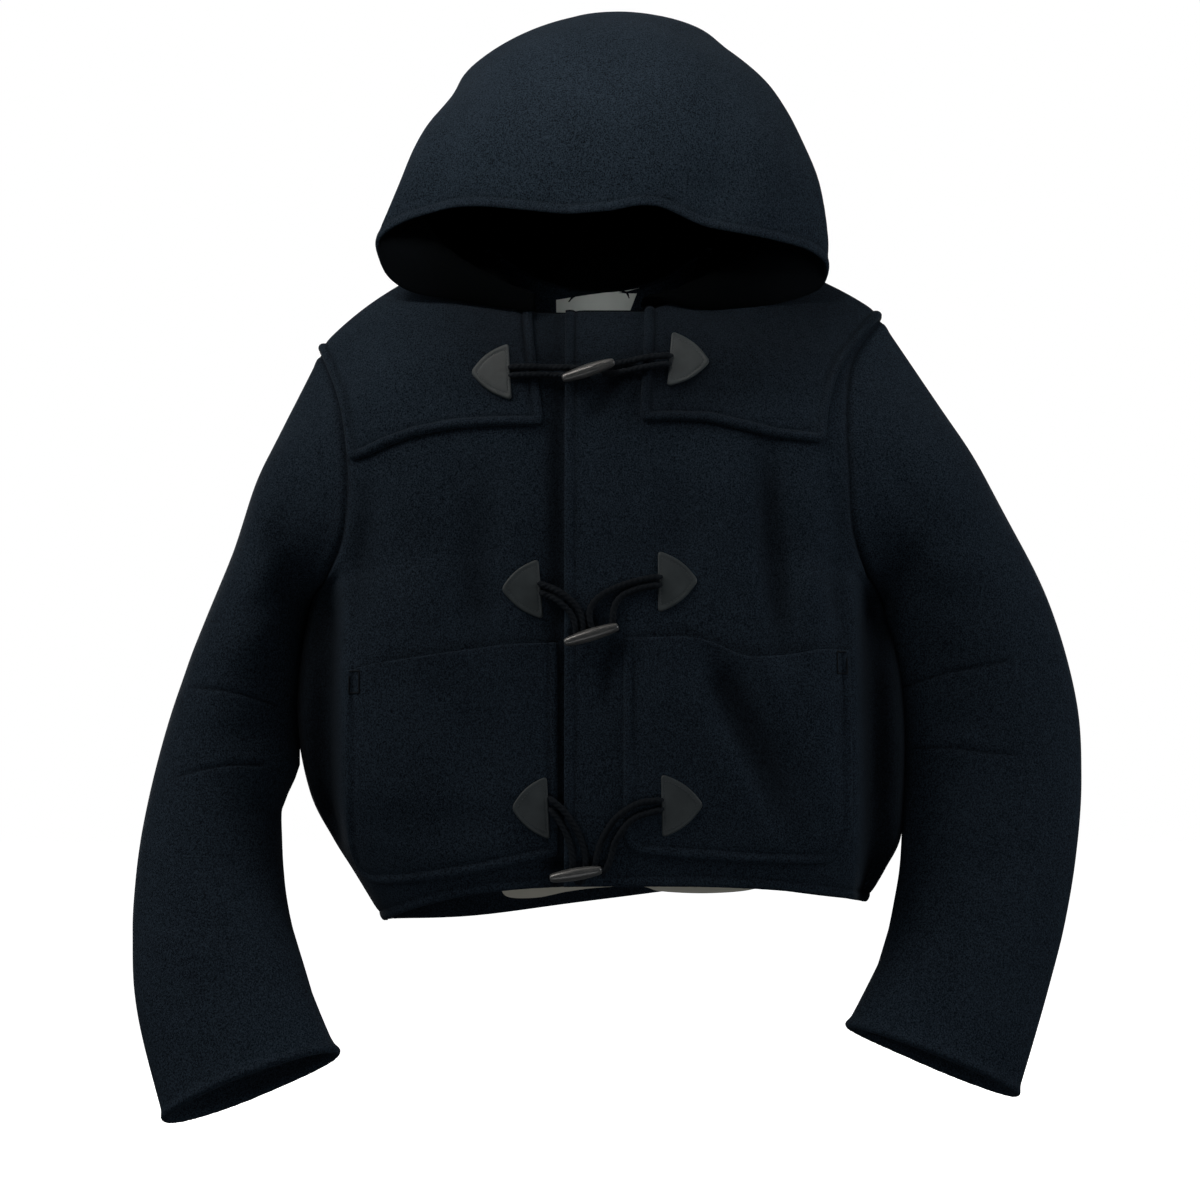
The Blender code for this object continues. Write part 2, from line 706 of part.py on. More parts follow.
LAID_FRONT = faces_under([f"{piece}_{side}" for piece in ("front", "yoke_front", "pocket") for side in SIGN])


def front_y(x, z):
    """Where the front of the coat is, seen from in front, at x and z."""
    hit = LAID_FRONT.ray_cast(Vector((x * MM, -1, z * MM)), Vector((0, 1, 0)))[0]
    return hit.y / MM


# The straight side of each patch from top to bottom, and its tip, as x and z.
PATCHES = {
    "patch_right_1": [(-79.4, -106), (-75.8, -152), (-112, -129)],
    "patch_left_1": [(63.6, -94.5), (58.2, -139), (96, -120)],
    "patch_right_2": [(-51.8, -301), (-49, -347), (-83, -324)],
    "patch_left_2": [(48.3, -292), (48.6, -342), (82.6, -316)],
    "patch_right_3": [(-43.9, -488.5), (-42.1, -538), (-73, -513)],
    "patch_left_3": [(50.8, -487), (51.5, -536), (86, -511)],
}
PATCH_BULGE = 2.5  # how far its two slanting sides curve out
PATCH_CORNER = 5.0


def patch_outline(corners):
    """A triangle with rounded corners whose two slanting sides are curved."""
    corners = np.array(corners, float)
    middle = corners.mean(axis=0)
    ring = []
    for n in range(3):
        start, end = corners[n], corners[(n + 1) % 3]
        length = np.linalg.norm(end - start)
        away = np.array([(end - start)[1], (start - end)[0]]) / length
        away *= np.sign(np.dot(away, start - middle))
        bulge = 0 if n == 0 else PATCH_BULGE
        for f in np.linspace(PATCH_CORNER / length, 1 - PATCH_CORNER / length, 4):
            ring.append(start + (end - start) * f + away * bulge * math.sin(math.pi * f))
        before, after = ring[-1], corners[(n + 2) % 3]
        after = end + (after - end) * PATCH_CORNER / np.linalg.norm(after - end)
        ring.append((before + after) / 4 + end / 2)
    clockwise = np.cross(corners[1] - corners[0], corners[2] - corners[0]) < 0
    return np.array(ring if clockwise else ring[::-1]), middle


def patch(name, corners):
    """A flat piece of leather just in front of what is under it."""
    ring, middle = patch_outline(corners)
    flat = np.array([middle, *ring])
    spots = np.concatenate([middle + (ring - middle) * share for share in (0, 0.25, 0.5, 0.75, 1)])
    level = np.stack([np.ones(len(spots)), spots[:, 0], spots[:, 1]], axis=1)
    below = np.array([front_y(x, z) for x, z in spots])
    plane = np.linalg.lstsq(level, below, rcond=None)[0]
    plane[0] -= np.max(level @ plane - below) + ON_TOP
    y = plane[0] + flat @ plane[1:]
    under = np.stack([flat[:, 0], y, flat[:, 1]], axis=1)
    count, last = len(flat), len(ring)
    faces = []
    for n in range(last):
        a, b = 1 + n, 1 + (n + 1) % last
        faces += [(0, a, b), (count, count + b, count + a), (a, a + count, b + count, b)]
    mesh = bpy.data.meshes.new(name)
    mesh.from_pydata((np.concatenate([under, under - [0, LEATHER, 0]]) * MM).tolist(), [], faces)
    mesh.update()
    return place(name, mesh, LEATHER_PAINT)


for name, corners in PATCHES.items():
    patch(name, corners)


# ---------------------------------------------------------------- cords

# Each loop leaves the straight side of its patch, goes round behind its toggle and comes back: x and z.
CORDS = {
    "cord_right_1": [
        *[(-75.8, -126), (-52, -126), (-34, -126.5), (-20, -127.5)],
        *[(-14, -131), (-20, -134.5), (-34, -133.5), (-52, -133), (-75.4, -133.5)],
    ],
    "cord_left_1": [
        *[(59.2, -116), (40, -118.5), (20, -122), (8, -124.5)],
        *[(1, -128.5), (8, -132), (22, -130), (40, -127), (58.2, -124)],
    ],
    "cord_right_2": [
        *[(-48.6, -317), (-32, -324), (-19, -337), (-12, -352), (-12, -362)],
        *[(-17, -366), (-22, -362), (-23, -352), (-29, -341), (-38, -331), (-48.2, -326)],
    ],
    "cord_left_2": [
        *[(46.8, -312), (30, -316.5), (14, -324), (0, -336), (-4.5, -350), (-4, -359)],
        *[(1, -363), (6.5, -359), (8, -349), (15, -338), (29, -329), (46.8, -322)],
    ],
    "cord_right_3": [
        *[(-41, -507), (-31, -516), (-19.5, -533), (-13, -552), (-13, -570)],
        *[(-18, -577), (-23, -570), (-24, -552), (-28.5, -537), (-35, -524), (-40.8, -517)],
    ],
    "cord_left_3": [
        *[(49.4, -507), (32, -510), (14, -522), (2, -540), (-3, -556), (-4, -564)],
        *[(0, -568.5), (5.5, -565), (9, -556), (14, -541), (28, -523), (49.8, -515.5)],
    ],
}
CORD_STEP = 6.0


def cord_route(line):
    """Points of the cord's middle, laid on what is under it, with its jumps made smooth."""
    line = np.array(line, float)
    dense = np.stack([spline(line[:, axis], np.linspace(0, len(line) - 1, 200)) for axis in range(2)], axis=1)
    length = np.concatenate([[0], np.cumsum(np.linalg.norm(np.diff(dense, axis=0), axis=1))])
    at = np.linspace(0, length[-1], int(length[-1] / CORD_STEP) + 1)
    xz = np.stack([np.interp(at, length, dense[:, axis]) for axis in range(2)], axis=1)
    reach = CORD_RADIUS
    around = [(0, 0), (reach, 0), (-reach, 0), (0, reach), (0, -reach)]
    y = np.array([min(front_y(x + dx, z + dz) for dx, dz in around) for x, z in xz])
    nearest = np.array([y[max(n - 1, 0): n + 2].min() for n in range(len(y))])
    padded = np.concatenate([nearest[:1], nearest, nearest[-1:]])
    smooth = (padded[:-2] + 2 * nearest + padded[2:]) / 4
    y = np.minimum(smooth, y) - ON_TOP - CORD_RADIUS
    return np.stack([xz[:, 0], y, xz[:, 1]], axis=1)


routes = {name: cord_route(line) for name, line in CORDS.items()}
for name, route in routes.items():
    cord(name, route, CORD_RADIUS, CORD_PAINT, len(route))


# ---------------------------------------------------------------- toggles

TOGGLES = {  # x and z of the two ends
    "toggle_1": [(-33.3, -138.2), (12.7, -123.1)],
    "toggle_2": [(-31.1, -371.5), (16.0, -357.2)],
    "toggle_3": [(-43.2, -573.4), (1.7, -566.1)],
}
TOGGLE_RADIUS = 4.5
TOGGLE_SIDES = 14
CORD_FINE = 0.1  # how closely a cord's route is looked at when a toggle is set above it
# From the toggle's middle to one end: its radius and the place along it, as shares of the largest radius
# and of half the length.
TOGGLE_HALF = [(1, 0), (0.89, 0.5), (0.74, 0.8), (0.56, 0.95), (0.36, 0.985), (0, 1)]
TOGGLE_PROFILE = TOGGLE_HALF[::-1] + [(radius, -along) for radius, along in TOGGLE_HALF[1:]]


def toggle(name, ends):
    """A turned horn toggle, which tapers to both ends and stands above the cords behind it."""
    ends = np.array(ends, float)
    (x, z), half = ends.mean(axis=0), np.linalg.norm(ends[1] - ends[0]) / 2
    way = (ends[1] - ends[0]) / 2 / half
    radii, places = zip(*TOGGLE_HALF)
    y = 0.0
    for route in (route for cord_name, route in routes.items() if cord_name[-1] == name[-1]):
        at = np.arange(0, len(route) - 1, CORD_FINE)
        line = np.stack([np.interp(at, range(len(route)), axis) for axis in route.T])
        along = ((line[0] - x) * way[0] + (line[2] - z) * way[1]) / half
        beside = (line[0] - x) * way[1] - (line[2] - z) * way[0]
        apart = np.interp(np.abs(along), places, radii) * TOGGLE_RADIUS + CORD_RADIUS + ON_TOP
        near = (np.abs(beside) < apart) & (np.abs(along) < 1)
        y = min([y, *(line[1] - np.sqrt(np.maximum(apart**2 - beside**2, 0)))[near]])
    mesh = bpy.data.meshes.new(name)
    points = [(radius * TOGGLE_RADIUS * MM, 0, along * half * MM) for radius, along in TOGGLE_PROFILE]
    mesh.from_pydata(points, [(n, n + 1) for n in range(len(points) - 1)], [])
    made = place(name, mesh, HORN)
    turned = made.modifiers.new("turned", "SCREW")
    turned.steps = turned.render_steps = TOGGLE_SIDES
    turned.use_merge_vertices = True
    turned.merge_threshold = 0.00005
    turned.use_smooth_shade = True
    made.location = (x * MM, y * MM, z * MM)
    made.rotation_euler = (0, math.atan2(*(ends[1] - ends[0])), 0)


for name, ends in TOGGLES.items():
    toggle(name, ends)


# ---------------------------------------------------------------- inside the neck and the hem

BACK_INSIDE = faces_under(["back"])
LABEL_THICK, LINING_THICK = 0.6, 0.8
LOOP_RADIUS = 1.0
LOOP_POINTS = 12
BELOW_NECK = (-56.0, -34.0)  # two heights just below the neck seam, which give the label its slope
LABEL_PUSH = 4.0  # how far the label's top is pushed in, clear of the back's neck edge
LABEL_PUSH_FROM, LABEL_PUSH_OVER = -38.0, 14.0  # the height where that starts, and the rise it takes


def inside_y(x, z):
    """Where the inner face of the back is, seen from inside, at x and z."""
    hit = BACK_INSIDE.ray_cast(Vector((x * MM, 0, z * MM)), Vector((0, 1, 0)))[0]
    return hit.y / MM


def label_y(x, z):
    """The label hangs straight from above the neck seam, so its top is carried on from the back below it."""
    z_low, z_high = BELOW_NECK
    low, high = inside_y(x, z_low), inside_y(x, z_high)
    straight = high + (high - low) / (z_high - z_low) * (z - z_high)
    return straight - ON_TOP - LABEL_PUSH * smooth_step((z - LABEL_PUSH_FROM) / LABEL_PUSH_OVER)


LABEL_TOP = [(-42, -28), (-14, -24), (14, -20.5), (38, -16.5)]
LABEL_HEIGHT = 30.0
rows = []
for down in np.linspace(0, LABEL_HEIGHT, 4):
    rows.append([(x, label_y(x, z - down), z - down) for x, z in LABEL_TOP])
cloth("neck_label", Shell([np.array(rows)]), LABEL, LABEL_THICK)

LOOP = [(-30, -30), (-24, -25), (-8, -21.5), (8, -19.5), (24, -21.5), (28, -27)]
loop = [(x, label_y(x, z) - LABEL_THICK - ON_TOP - LOOP_RADIUS, z) for x, z in LOOP]
cord("hanger_loop", loop, LOOP_RADIUS, CORD_PAINT, LOOP_POINTS)

# The lower edge of the strip of lining that shows inside the back hem.
LINING_LOW = [
    *[(-175, -604), (-130, -603), (-89, -598), (-60, -598), (-32, -592), (0, -588)],
    *[(39, -588), (70, -587), (110, -586), (150, -586), (190, -588)],
]
LINING_HEIGHT = 70.0
rows = []
for up in (LINING_HEIGHT, LINING_HEIGHT / 2, 0):
    rows.append([(x, inside_y(x, z + up) - ON_TOP, z + up) for x, z in LINING_LOW])
cloth("lining_strip", Shell([np.array(rows)]), LINING, LINING_THICK)
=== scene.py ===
"""A cropped, hooded duffle coat in heavy navy melton, filled out with no one in it, in a pale studio.

The front faces -Y and the wearer's left side is +X. The origin is at the top of the shoulders. Sizes are in
millimetres until a mesh is made, which is in metres.
"""

import math
from collections import namedtuple
from functools import partial

import bmesh
import bpy
import numpy as np
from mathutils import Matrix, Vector
from mathutils.bvhtree import BVHTree
from mathutils.kdtree import KDTree


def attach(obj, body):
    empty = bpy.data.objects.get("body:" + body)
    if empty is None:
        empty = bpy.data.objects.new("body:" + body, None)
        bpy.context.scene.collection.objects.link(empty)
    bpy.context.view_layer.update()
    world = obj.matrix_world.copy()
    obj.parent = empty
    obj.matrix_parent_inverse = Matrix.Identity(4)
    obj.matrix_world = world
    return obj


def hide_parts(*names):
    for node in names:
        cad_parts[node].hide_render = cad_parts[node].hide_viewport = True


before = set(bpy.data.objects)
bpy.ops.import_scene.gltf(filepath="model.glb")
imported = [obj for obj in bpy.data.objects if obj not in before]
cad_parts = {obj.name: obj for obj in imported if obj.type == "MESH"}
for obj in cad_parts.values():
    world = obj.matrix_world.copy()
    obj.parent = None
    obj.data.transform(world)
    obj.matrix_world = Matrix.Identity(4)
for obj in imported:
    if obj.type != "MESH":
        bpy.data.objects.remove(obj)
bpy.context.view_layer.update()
MM = 0.001

# ---------------------------------------------------------------- camera, floor and light
# A camera a little below the middle of the coat, looking slightly up, in a white room. Large soft boxes light
# the coat from the upper left, from overhead, from both sides, from behind and from below, and a spot lights
# the neck label.

EYE, LOOKED_AT = (0, -2.192, -0.515), (0, 0, -0.323)
WARM, COOL = (1.0, 0.94, 0.88), (0.95, 0.98, 1.0)


def aimed(made, place, at):
    """Stands an object at a place, turned so that it faces another place."""
    made.location = place
    made.rotation_euler = (Vector(at) - Vector(place)).to_track_quat("-Z", "Y").to_euler()
    bpy.context.scene.collection.objects.link(made)


camera = bpy.data.objects.new("camera", bpy.data.cameras.new("camera"))
camera.data.sensor_width = 36
camera.data.lens = 71.9
aimed(camera, EYE, LOOKED_AT)
bpy.context.scene.camera = camera
bpy.context.scene.view_settings.view_transform = "Standard"


def soft_box(name, place, at, width, height, watts, tint=(1, 1, 1), spread=180):
    lamp = bpy.data.lights.new(name, "AREA")
    lamp.shape = "RECTANGLE"
    lamp.size, lamp.size_y = width, height
    lamp.energy = watts
    lamp.color = tint
    lamp.spread = math.radians(spread)
    aimed(bpy.data.objects.new(name, lamp), place, at)


soft_box("key_box", (-1.25, -0.85, 1.3), (-0.1, 0, -0.1), 0.9, 0.7, 20, WARM)
soft_box("hood_box", (-0.4, -1.2, 1.0), (-0.03, -0.1, 0.25), 0.35, 0.3, 0.62, WARM, 31)
soft_box("top_box", (0.1, -0.3, 1.9), (0, 0, -0.1), 1.5, 0.9, 5.5, (1.0, 0.93, 0.86))
soft_box("right_box", (1.9, -0.5, 0.2), (0.1, 0, -0.4), 0.7, 1.2, 15, COOL)
soft_box("left_box", (-1.9, -0.5, 0.2), (-0.1, 0, -0.4), 0.7, 1.2, 8, COOL)
for side_x in (-1.2, 1.2):
    soft_box(f"back_box_{side_x > 0}", (side_x, 1.8, 0.0), (0, 0, -0.35), 0.9, 0.9, 9, (0.97, 0.98, 1.0))
soft_box("floor_box", (0, -0.8, -0.92), (0, 0, -0.6), 0.9, 0.3, 1.1)

spot = bpy.data.lights.new("neck_spot", "SPOT")
spot.energy = 58
spot.spot_size = 0.041
spot.spot_blend = 0.5
spot.shadow_soft_size = 0.05
aimed(bpy.data.objects.new("neck_spot", spot), (0.05, -2.1, -0.3), (0.001, 0.05, -0.028))


class Wire:
    """A shader socket. Arithmetic on it adds Math nodes, and node() adds any other."""

    def __init__(self, tree, socket=None):
        self.tree, self.socket = tree, socket

    def joined(self, value, slot):
        if isinstance(value, Wire):
            self.tree.links.new(value.socket, slot)
        elif isinstance(value, tuple) and slot.type == "RGBA":
            slot.default_value = (*value, 1)
        else:
            slot.default_value = value

    def node(self, kind, settings, values, output=0):
        made = self.tree.nodes.new("ShaderNode" + kind)
        for name, value in settings.items():
            if name == "stops":
                made.color_ramp.elements[0].position, made.color_ramp.elements[1].position = value
            else:
                setattr(made, name, value)
        for name, value in values.items():
            self.joined(value, made.inputs[name])
        return Wire(self.tree, made.outputs[output])

    def maths(self, operation, *values):
        return self.node("Math", {"operation": operation}, dict(enumerate(values)))

    def __add__(self, other):
        return self.maths("ADD", self, other)

    def __sub__(self, other):
        return self.maths("SUBTRACT", self, other)

    def __rsub__(self, other):
        return self.maths("SUBTRACT", other, self)

    def __mul__(self, other):
        return self.maths("MULTIPLY", self, other)

    __radd__, __rmul__ = __add__, __mul__

    def blend(self, low, high):
        """A colour between two, by this wire."""
        return self.node("Mix", {"data_type": "RGBA"}, {0: self, 6: low, 7: high}, 2)


ROOM_ABOVE, ROOM_BELOW = 0.10, 0.045  # how bright the room is overhead and underfoot
ROOM_TINT = (0.84, 0.93, 1)
room = bpy.data.worlds.new("white_room")
room.use_nodes = True
wire = Wire(room.node_tree)
height = wire.node("SeparateXYZ", {}, {"Vector": wire.node("TexCoord", {}, {}, "Generated")}, "Z")
from_to = {"From Min": -1.0, "To Min": ROOM_BELOW, "To Max": ROOM_ABOVE}
brightness = wire.node("MapRange", {}, {"Value": height, **from_to})
walls = wire.node("VectorMath", {"operation": "SCALE"}, {0: ROOM_TINT, "Scale": brightness})
shown = wire.node("LightPath", {}, {}, "Is Camera Ray").blend(walls, (1, 1, 1))
wire.joined(shown, room.node_tree.nodes["Background"].inputs["Color"])
bpy.context.scene.world = room


def finish(name, look, **constants):
    """A material. look(wire) gives what changes over the surface, and the constants are set as they are."""
    made = bpy.data.materials.new(name)
    made.use_nodes = True
    wire = Wire(made.node_tree)
    shader = made.node_tree.nodes["Principled BSDF"]
    for slot, value in {**constants, **look(wire)}.items():
        wire.joined(value, shader.inputs[slot.replace("_", " ")])
    return made


PAPER = finish(
    "white_paper",
    lambda wire: {},
    Base_Color=(0.9, 0.9, 0.9),
    Roughness=1.0,
    Emission_Color=(1, 1, 1),
    Emission_Strength=1.0,
)
FLOOR_HEIGHT = -0.95
PAPER_SIZE = 30.0
floor = bpy.data.objects.new("floor", bpy.data.meshes.new("floor"))
corners = [(x * PAPER_SIZE, y * PAPER_SIZE, FLOOR_HEIGHT) for x, y in ((-1, -1), (1, -1), (1, 1), (-1, 1))]
floor.data.from_pydata(corners, [], [(0, 1, 2, 3)])
floor.data.materials.append(PAPER)
floor.visible_diffuse = floor.visible_glossy = floor.visible_shadow = False
bpy.context.scene.collection.objects.link(floor)

# ---------------------------------------------------------------- melton
# Heavy wool melton, woven, fulled until the weave closes, and brushed: a short dense nap that lies down the
# cloth, dark navy with single lighter fibres, and a faint bloom where it is seen edge on.


def noise(wire, place, scale, detail=2.0, roughness=0.5):
    values = {"Vector": place, "Scale": scale, "Detail": detail, "Roughness": roughness}
    return wire.node("TexNoise", {}, values)


def on_piece(wire):
    """Where the surface is on its piece, in metres."""
    return wire.node("TexCoord", {}, {}, "Object")


def bumped(wire, height, distance, strength):
    return wire.node("Bump", {}, {"Height": height, "Distance": distance, "Strength": strength})


NAP_SCALE = 1150.0
CLUMP_SCALE = 760.0
MOTTLE_SCALE = 14.0
COMBED = (1.0, 1.0, 0.8)  # the nap's hairs are a little longer than they are wide


def melton_look(wire):
    place = on_piece(wire)
    combed = wire.node("Mapping", {}, {"Vector": place, "Scale": COMBED})
    nap = noise(wire, combed, NAP_SCALE, 3.0, 0.6)
    clumps = noise(wire, combed, CLUMP_SCALE, 3.0, 0.6)
    mottle = noise(wire, place, MOTTLE_SCALE)
    lightness = nap * 0.5 + clumps * 0.55 + mottle * 0.06 - 0.055
    stretched = lightness.node("ValToRGB", {"stops": (0.4, 0.6)}, {"Fac": lightness})
    colour = stretched.blend((0.0014, 0.0030, 0.0052), (0.0178, 0.0274, 0.0395))
    # Painted shade: the shade attribute of each piece darkens the cloth in its grooves, seams, creases and
    # darts, on the body's sides and under and inside the hood.
    crevice = wire.node("Attribute", {"attribute_name": "crevice"}, {}, "Fac")
    colour = crevice.blend(colour, (0.0008, 0.0012, 0.0018))
    return {"Base_Color": colour, "Normal": bumped(wire, nap * 0.7 + clumps * 0.6, 0.0006, 0.55)}


MELTON = finish(
    "melton_navy",
    melton_look,
    Roughness=0.92,
    Specular_IOR_Level=0.06,
    Sheen_Weight=0.012,
    Sheen_Roughness=0.42,
    Sheen_Tint=(0.62, 0.72, 0.85),
)

# Where the painted shade is deepest, as inside the hood, the cloth is mixed into a dull near-black shader
# that also paints out its sheen and specular.
PAINTED_SHADE_UNLIT_FROM = 0.7
wire = Wire(MELTON.node_tree)
shade_black = {"Base Color": (0.0012, 0.0016, 0.0018), "Roughness": 1.0, "Specular IOR Level": 0.0}
crevice = wire.node("Attribute", {"attribute_name": "crevice"}, {}, "Fac")
deepest = wire.node("MapRange", {}, {"Value": crevice, "From Min": PAINTED_SHADE_UNLIT_FROM})
napped = Wire(MELTON.node_tree, MELTON.node_tree.nodes["Principled BSDF"].outputs["BSDF"])
shade_mixed = wire.node("MixShader", {}, {0: deepest, 1: napped, 2: wire.node("BsdfPrincipled", {}, shade_black)})
wire.joined(shade_mixed, MELTON.node_tree.nodes["Material Output"].inputs["Surface"])

# ---------------------------------------------------------------- fronts and back
# The two fronts lap at the middle, and with the back they hang from the shoulder seams. Their free edges are
# turned in and stitched 9 mm from the fold, which leaves a soft welt, and the other edges are seamed.

CLOTH = 3.0
LAY = 0.8
NECK_HALF_WIDTH = 95.0
FRONT_NECK, SHOULDER, BACK_NECK, BACK_HEM = 11.25, 12.0, 12.88, 24.0
UNDERARM = 6.0
FRONT_EDGE = {"right": 14.0, "left": -31.0}
NECK_CORNER = 50.0
LAP, LAP_START = 2.6, 78.0
LAP_WIDTH = {"right": 26.0, "left": 38.0}
UNDERLAP_DIP, DIP_START, DIP_WIDTH = 3.6, -52.0, 18.0  # how the right front bends in to go under the left one
SIGN = {"right": -1.0, "left": 1.0}

Wave = namedtuple("Wave", "x width height")
BACK_HEM_WAVES = [Wave(-120, 105, -12.5), Wave(120, 85, 10.5)]
HEM_WAVE_START = 22.0

# The middle of the body, from the front hem over the shoulder to the back hem.
Middle = namedtuple("Middle", "y z squareness roundness")
MIDDLE = [
    Middle(-112, -581, 4.0, 2.0),
    Middle(-116, -552, 4.6, 2.0),
    Middle(-118, -522, 5.2, 2.0),
    Middle(-119, -485, 5.6, 2.0),
    Middle(-118, -430, 5.8, 2.0),
    Middle(-116, -372, 5.8, 2.0),
    Middle(-114, -318, 5.0, 2.0),
    Middle(-113, -288, 3.6, 1.5),
    Middle(-112, -255, 3.2, 1.15),
    Middle(-109, -208, 3.0, 1.1),
    Middle(-103, -158, 3.0, 1.1),
    Middle(-86, -92, 3.0, 1.05),
    Middle(0, 2, 3.0, 1.0),
    Middle(78, -28, 3.0, 1.05),
    Middle(104, -110, 3.0, 1.1),
    Middle(113, -190, 3.0, 1.1),
    Middle(116, -250, 3.2, 1.15),
    Middle(116, -288, 3.6, 1.5),
    Middle(115, -322, 4.2, 2.0),
    Middle(114, -378, 4.2, 2.0),
    Middle(113, -436, 4.0, 2.0),
    Middle(112, -490, 3.8, 2.0),
    Middle(110, -532, 3.6, 2.0),
    Middle(108, -566, 3.4, 2.0),
    Middle(106, -598, 3.2, 2.0),
]

# Each side of the body from the front hem up the side seam, round the armhole and down to the back hem.
Edge = namedtuple("Edge", "x y z")
SIDE_SEAM = {
    "right": [
        *[(-196, 8, -615), (-223, 8, -571), (-242, 6, -541), (-263, 4, -500)],
        *[(-276, 8, -440), (-275, 8, -382), (-263, 2, -326)],
    ],
    "left": [
        *[(241, 6, -598), (259, 6, -568), (273, 6, -540), (277, 6, -498)],
        *[(279, 10, -438), (274, 10, -380), (256, 2, -322)],
    ],
}
ARMHOLE = {
    "right": [
        *[(-245, -52, -306), (-229, -78, -274), (-225, -80, -228), (-230, -67, -178), (-240, -42, -138)],
        *[(-260, 6, -94), (-244, 50, -140), (-234, 72, -182)],
        *[(-230, 82, -232), (-234, 78, -276), (-248, 50, -308)],
    ],
    "left": [
        *[(238, -52, -300), (225, -78, -266), (222, -80, -214), (222, -66, -158), (231, -40, -108)],
        *[(262, 6, -62), (240, 50, -108), (229, 72, -158)],
        *[(226, 82, -216), (229, 78, -268), (240, 50, -302)],
    ],
}
EDGES = {
    side: [Edge(*place) for place in SIDE_SEAM[side] + ARMHOLE[side] + SIDE_SEAM[side][::-1]] for side in SIGN
}


def spline(values, at):
    """A smooth curve through the values, which stand at 0, 1, 2 and so on."""
    values = np.asarray(values, float)
    last = len(values) - 1
    at = np.clip(np.asarray(at, float), 0, last)
    low = np.minimum(np.floor(at).astype(int), last - 1)
    f = at - low
    before = np.maximum(low - 1, 0)
    after = np.minimum(low + 2, last)

    def take(index):
        return values[index] if values.ndim == 1 else values[index, np.arange(values.shape[1])]

    slope_low = (take(low + 1) - take(before)) / np.maximum(low + 1 - before, 1)
    slope_high = (take(after) - take(low)) / np.maximum(after - low, 1)
    f2, f3 = f * f, f * f * f
    return (
        take(low) * (2 * f3 - 3 * f2 + 1)
        + slope_low * (f3 - 2 * f2 + f)
        + take(low + 1) * (3 * f2 - 2 * f3)
        + slope_high * (f3 - f2)
    )


def column(rows, name, at):
    return spline([getattr(row, name) for row in rows], at)


def curve(line, at):
    """Points on a smooth curve through the line's points."""
    return np.stack([spline(axis, at) for axis in line.T], axis=1)


def lengths(points):
    """How far along its column of points each one lies."""
    gaps = np.linalg.norm(np.diff(points, axis=0), axis=-1)
    return np.concatenate([np.zeros_like(gaps[:1]), np.cumsum(gaps, axis=0)])


def along_line(line, length, at):
    """Points of the line, whose own have these lengths along it, at other lengths."""
    return np.stack([np.interp(at, length, axis) for axis in line.T], axis=1)


def smooth_step(x):
    x = np.clip(x, 0, 1)
    return x * x * (3 - 2 * x)


def bell(x, width):
    """1 at 0, and less the further x is from it."""
    return np.exp(-((x / width) ** 2))


def body(s, t):
    """Points of the shell's outer face. s runs from -1 at the right edge to 1, t from front to back hem."""
    s, t = np.broadcast_arrays(np.asarray(s, float), np.asarray(t, float))
    right = {axis: column(EDGES["right"], axis, t) for axis in "xyz"}
    left = {axis: column(EDGES["left"], axis, t) for axis in "xyz"}
    x = (right["x"] + left["x"]) / 2 + s * (left["x"] - right["x"]) / 2
    edge_y = np.where(s < 0, right["y"], left["y"])
    edge_z = np.where(s < 0, right["z"], left["z"])
    out = np.clip(np.abs(s), 0, 1)
    fullness = (1 - out ** column(MIDDLE, "squareness", t)) ** (1 / column(MIDDLE, "roundness", t))
    y = edge_y + (column(MIDDLE, "y", t) - edge_y) * fullness
    middle_z = column(MIDDLE, "z", t)
    z = middle_z + (edge_z - middle_z) * out**3
    for wave in BACK_HEM_WAVES:
        height = wave.height * bell(x - wave.x, wave.width) * (1 - out**8)
        z = z + height * np.clip((t - HEM_WAVE_START) / (BACK_HEM - HEM_WAVE_START), 0, 1)
    return np.stack([x, y, z], axis=-1)


def body_normal(s, t):
    s, t = np.broadcast_arrays(np.asarray(s, float), np.asarray(t, float))
    across = body(np.clip(s + 0.004, -0.99, 0.999), t) - body(np.clip(s - 0.004, -0.999, 0.99), t)
    along = body(s, np.clip(t + 0.02, 0, BACK_HEM)) - body(s, np.clip(t - 0.02, 0, BACK_HEM))
    normal = np.cross(across, along)
    return normal / np.linalg.norm(normal, axis=-1, keepdims=True)


def s_of(x, t):
    right, left = column(EDGES["right"], "x", t), column(EDGES["left"], "x", t)
    return (2 * x - right - left) / (left - right)


def t_where(x, axis, value, low, high):
    """The t between low and high at which the body's point above x has this y or z, found by halving."""
    low, high = np.full(x.shape, low), np.full(x.shape, high)
    for _ in range(30):
        t = (low + high) / 2
        before = body(s_of(x, t), t)[..., axis] < value
        low, high = np.where(before, t, low), np.where(before, high, t)
    return t


def front_place(x, z):
    """The t of the point of the front that has this x and z."""
    return t_where(x, 2, z, 0.0, SHOULDER - 0.02)


def neck_top(x, start):
    """The t of the neckline above x on the fronts, which is the shoulder seam outside the neck."""
    share = np.clip((np.abs(x) - start) / (NECK_HALF_WIDTH - start), 0, 1)
    return FRONT_NECK + (SHOULDER - FRONT_NECK) * (1 - np.sqrt(1 - share**2))


def lapped(points, side):
    past = LAP_START - SIGN[side] * points[..., 0]
    points[..., 1] -= SIGN[side] * LAP * smooth_step(past / LAP_WIDTH[side])
    if side == "right":
        points[..., 1] += UNDERLAP_DIP * smooth_step((points[..., 0] - DIP_START) / DIP_WIDTH)
    return points


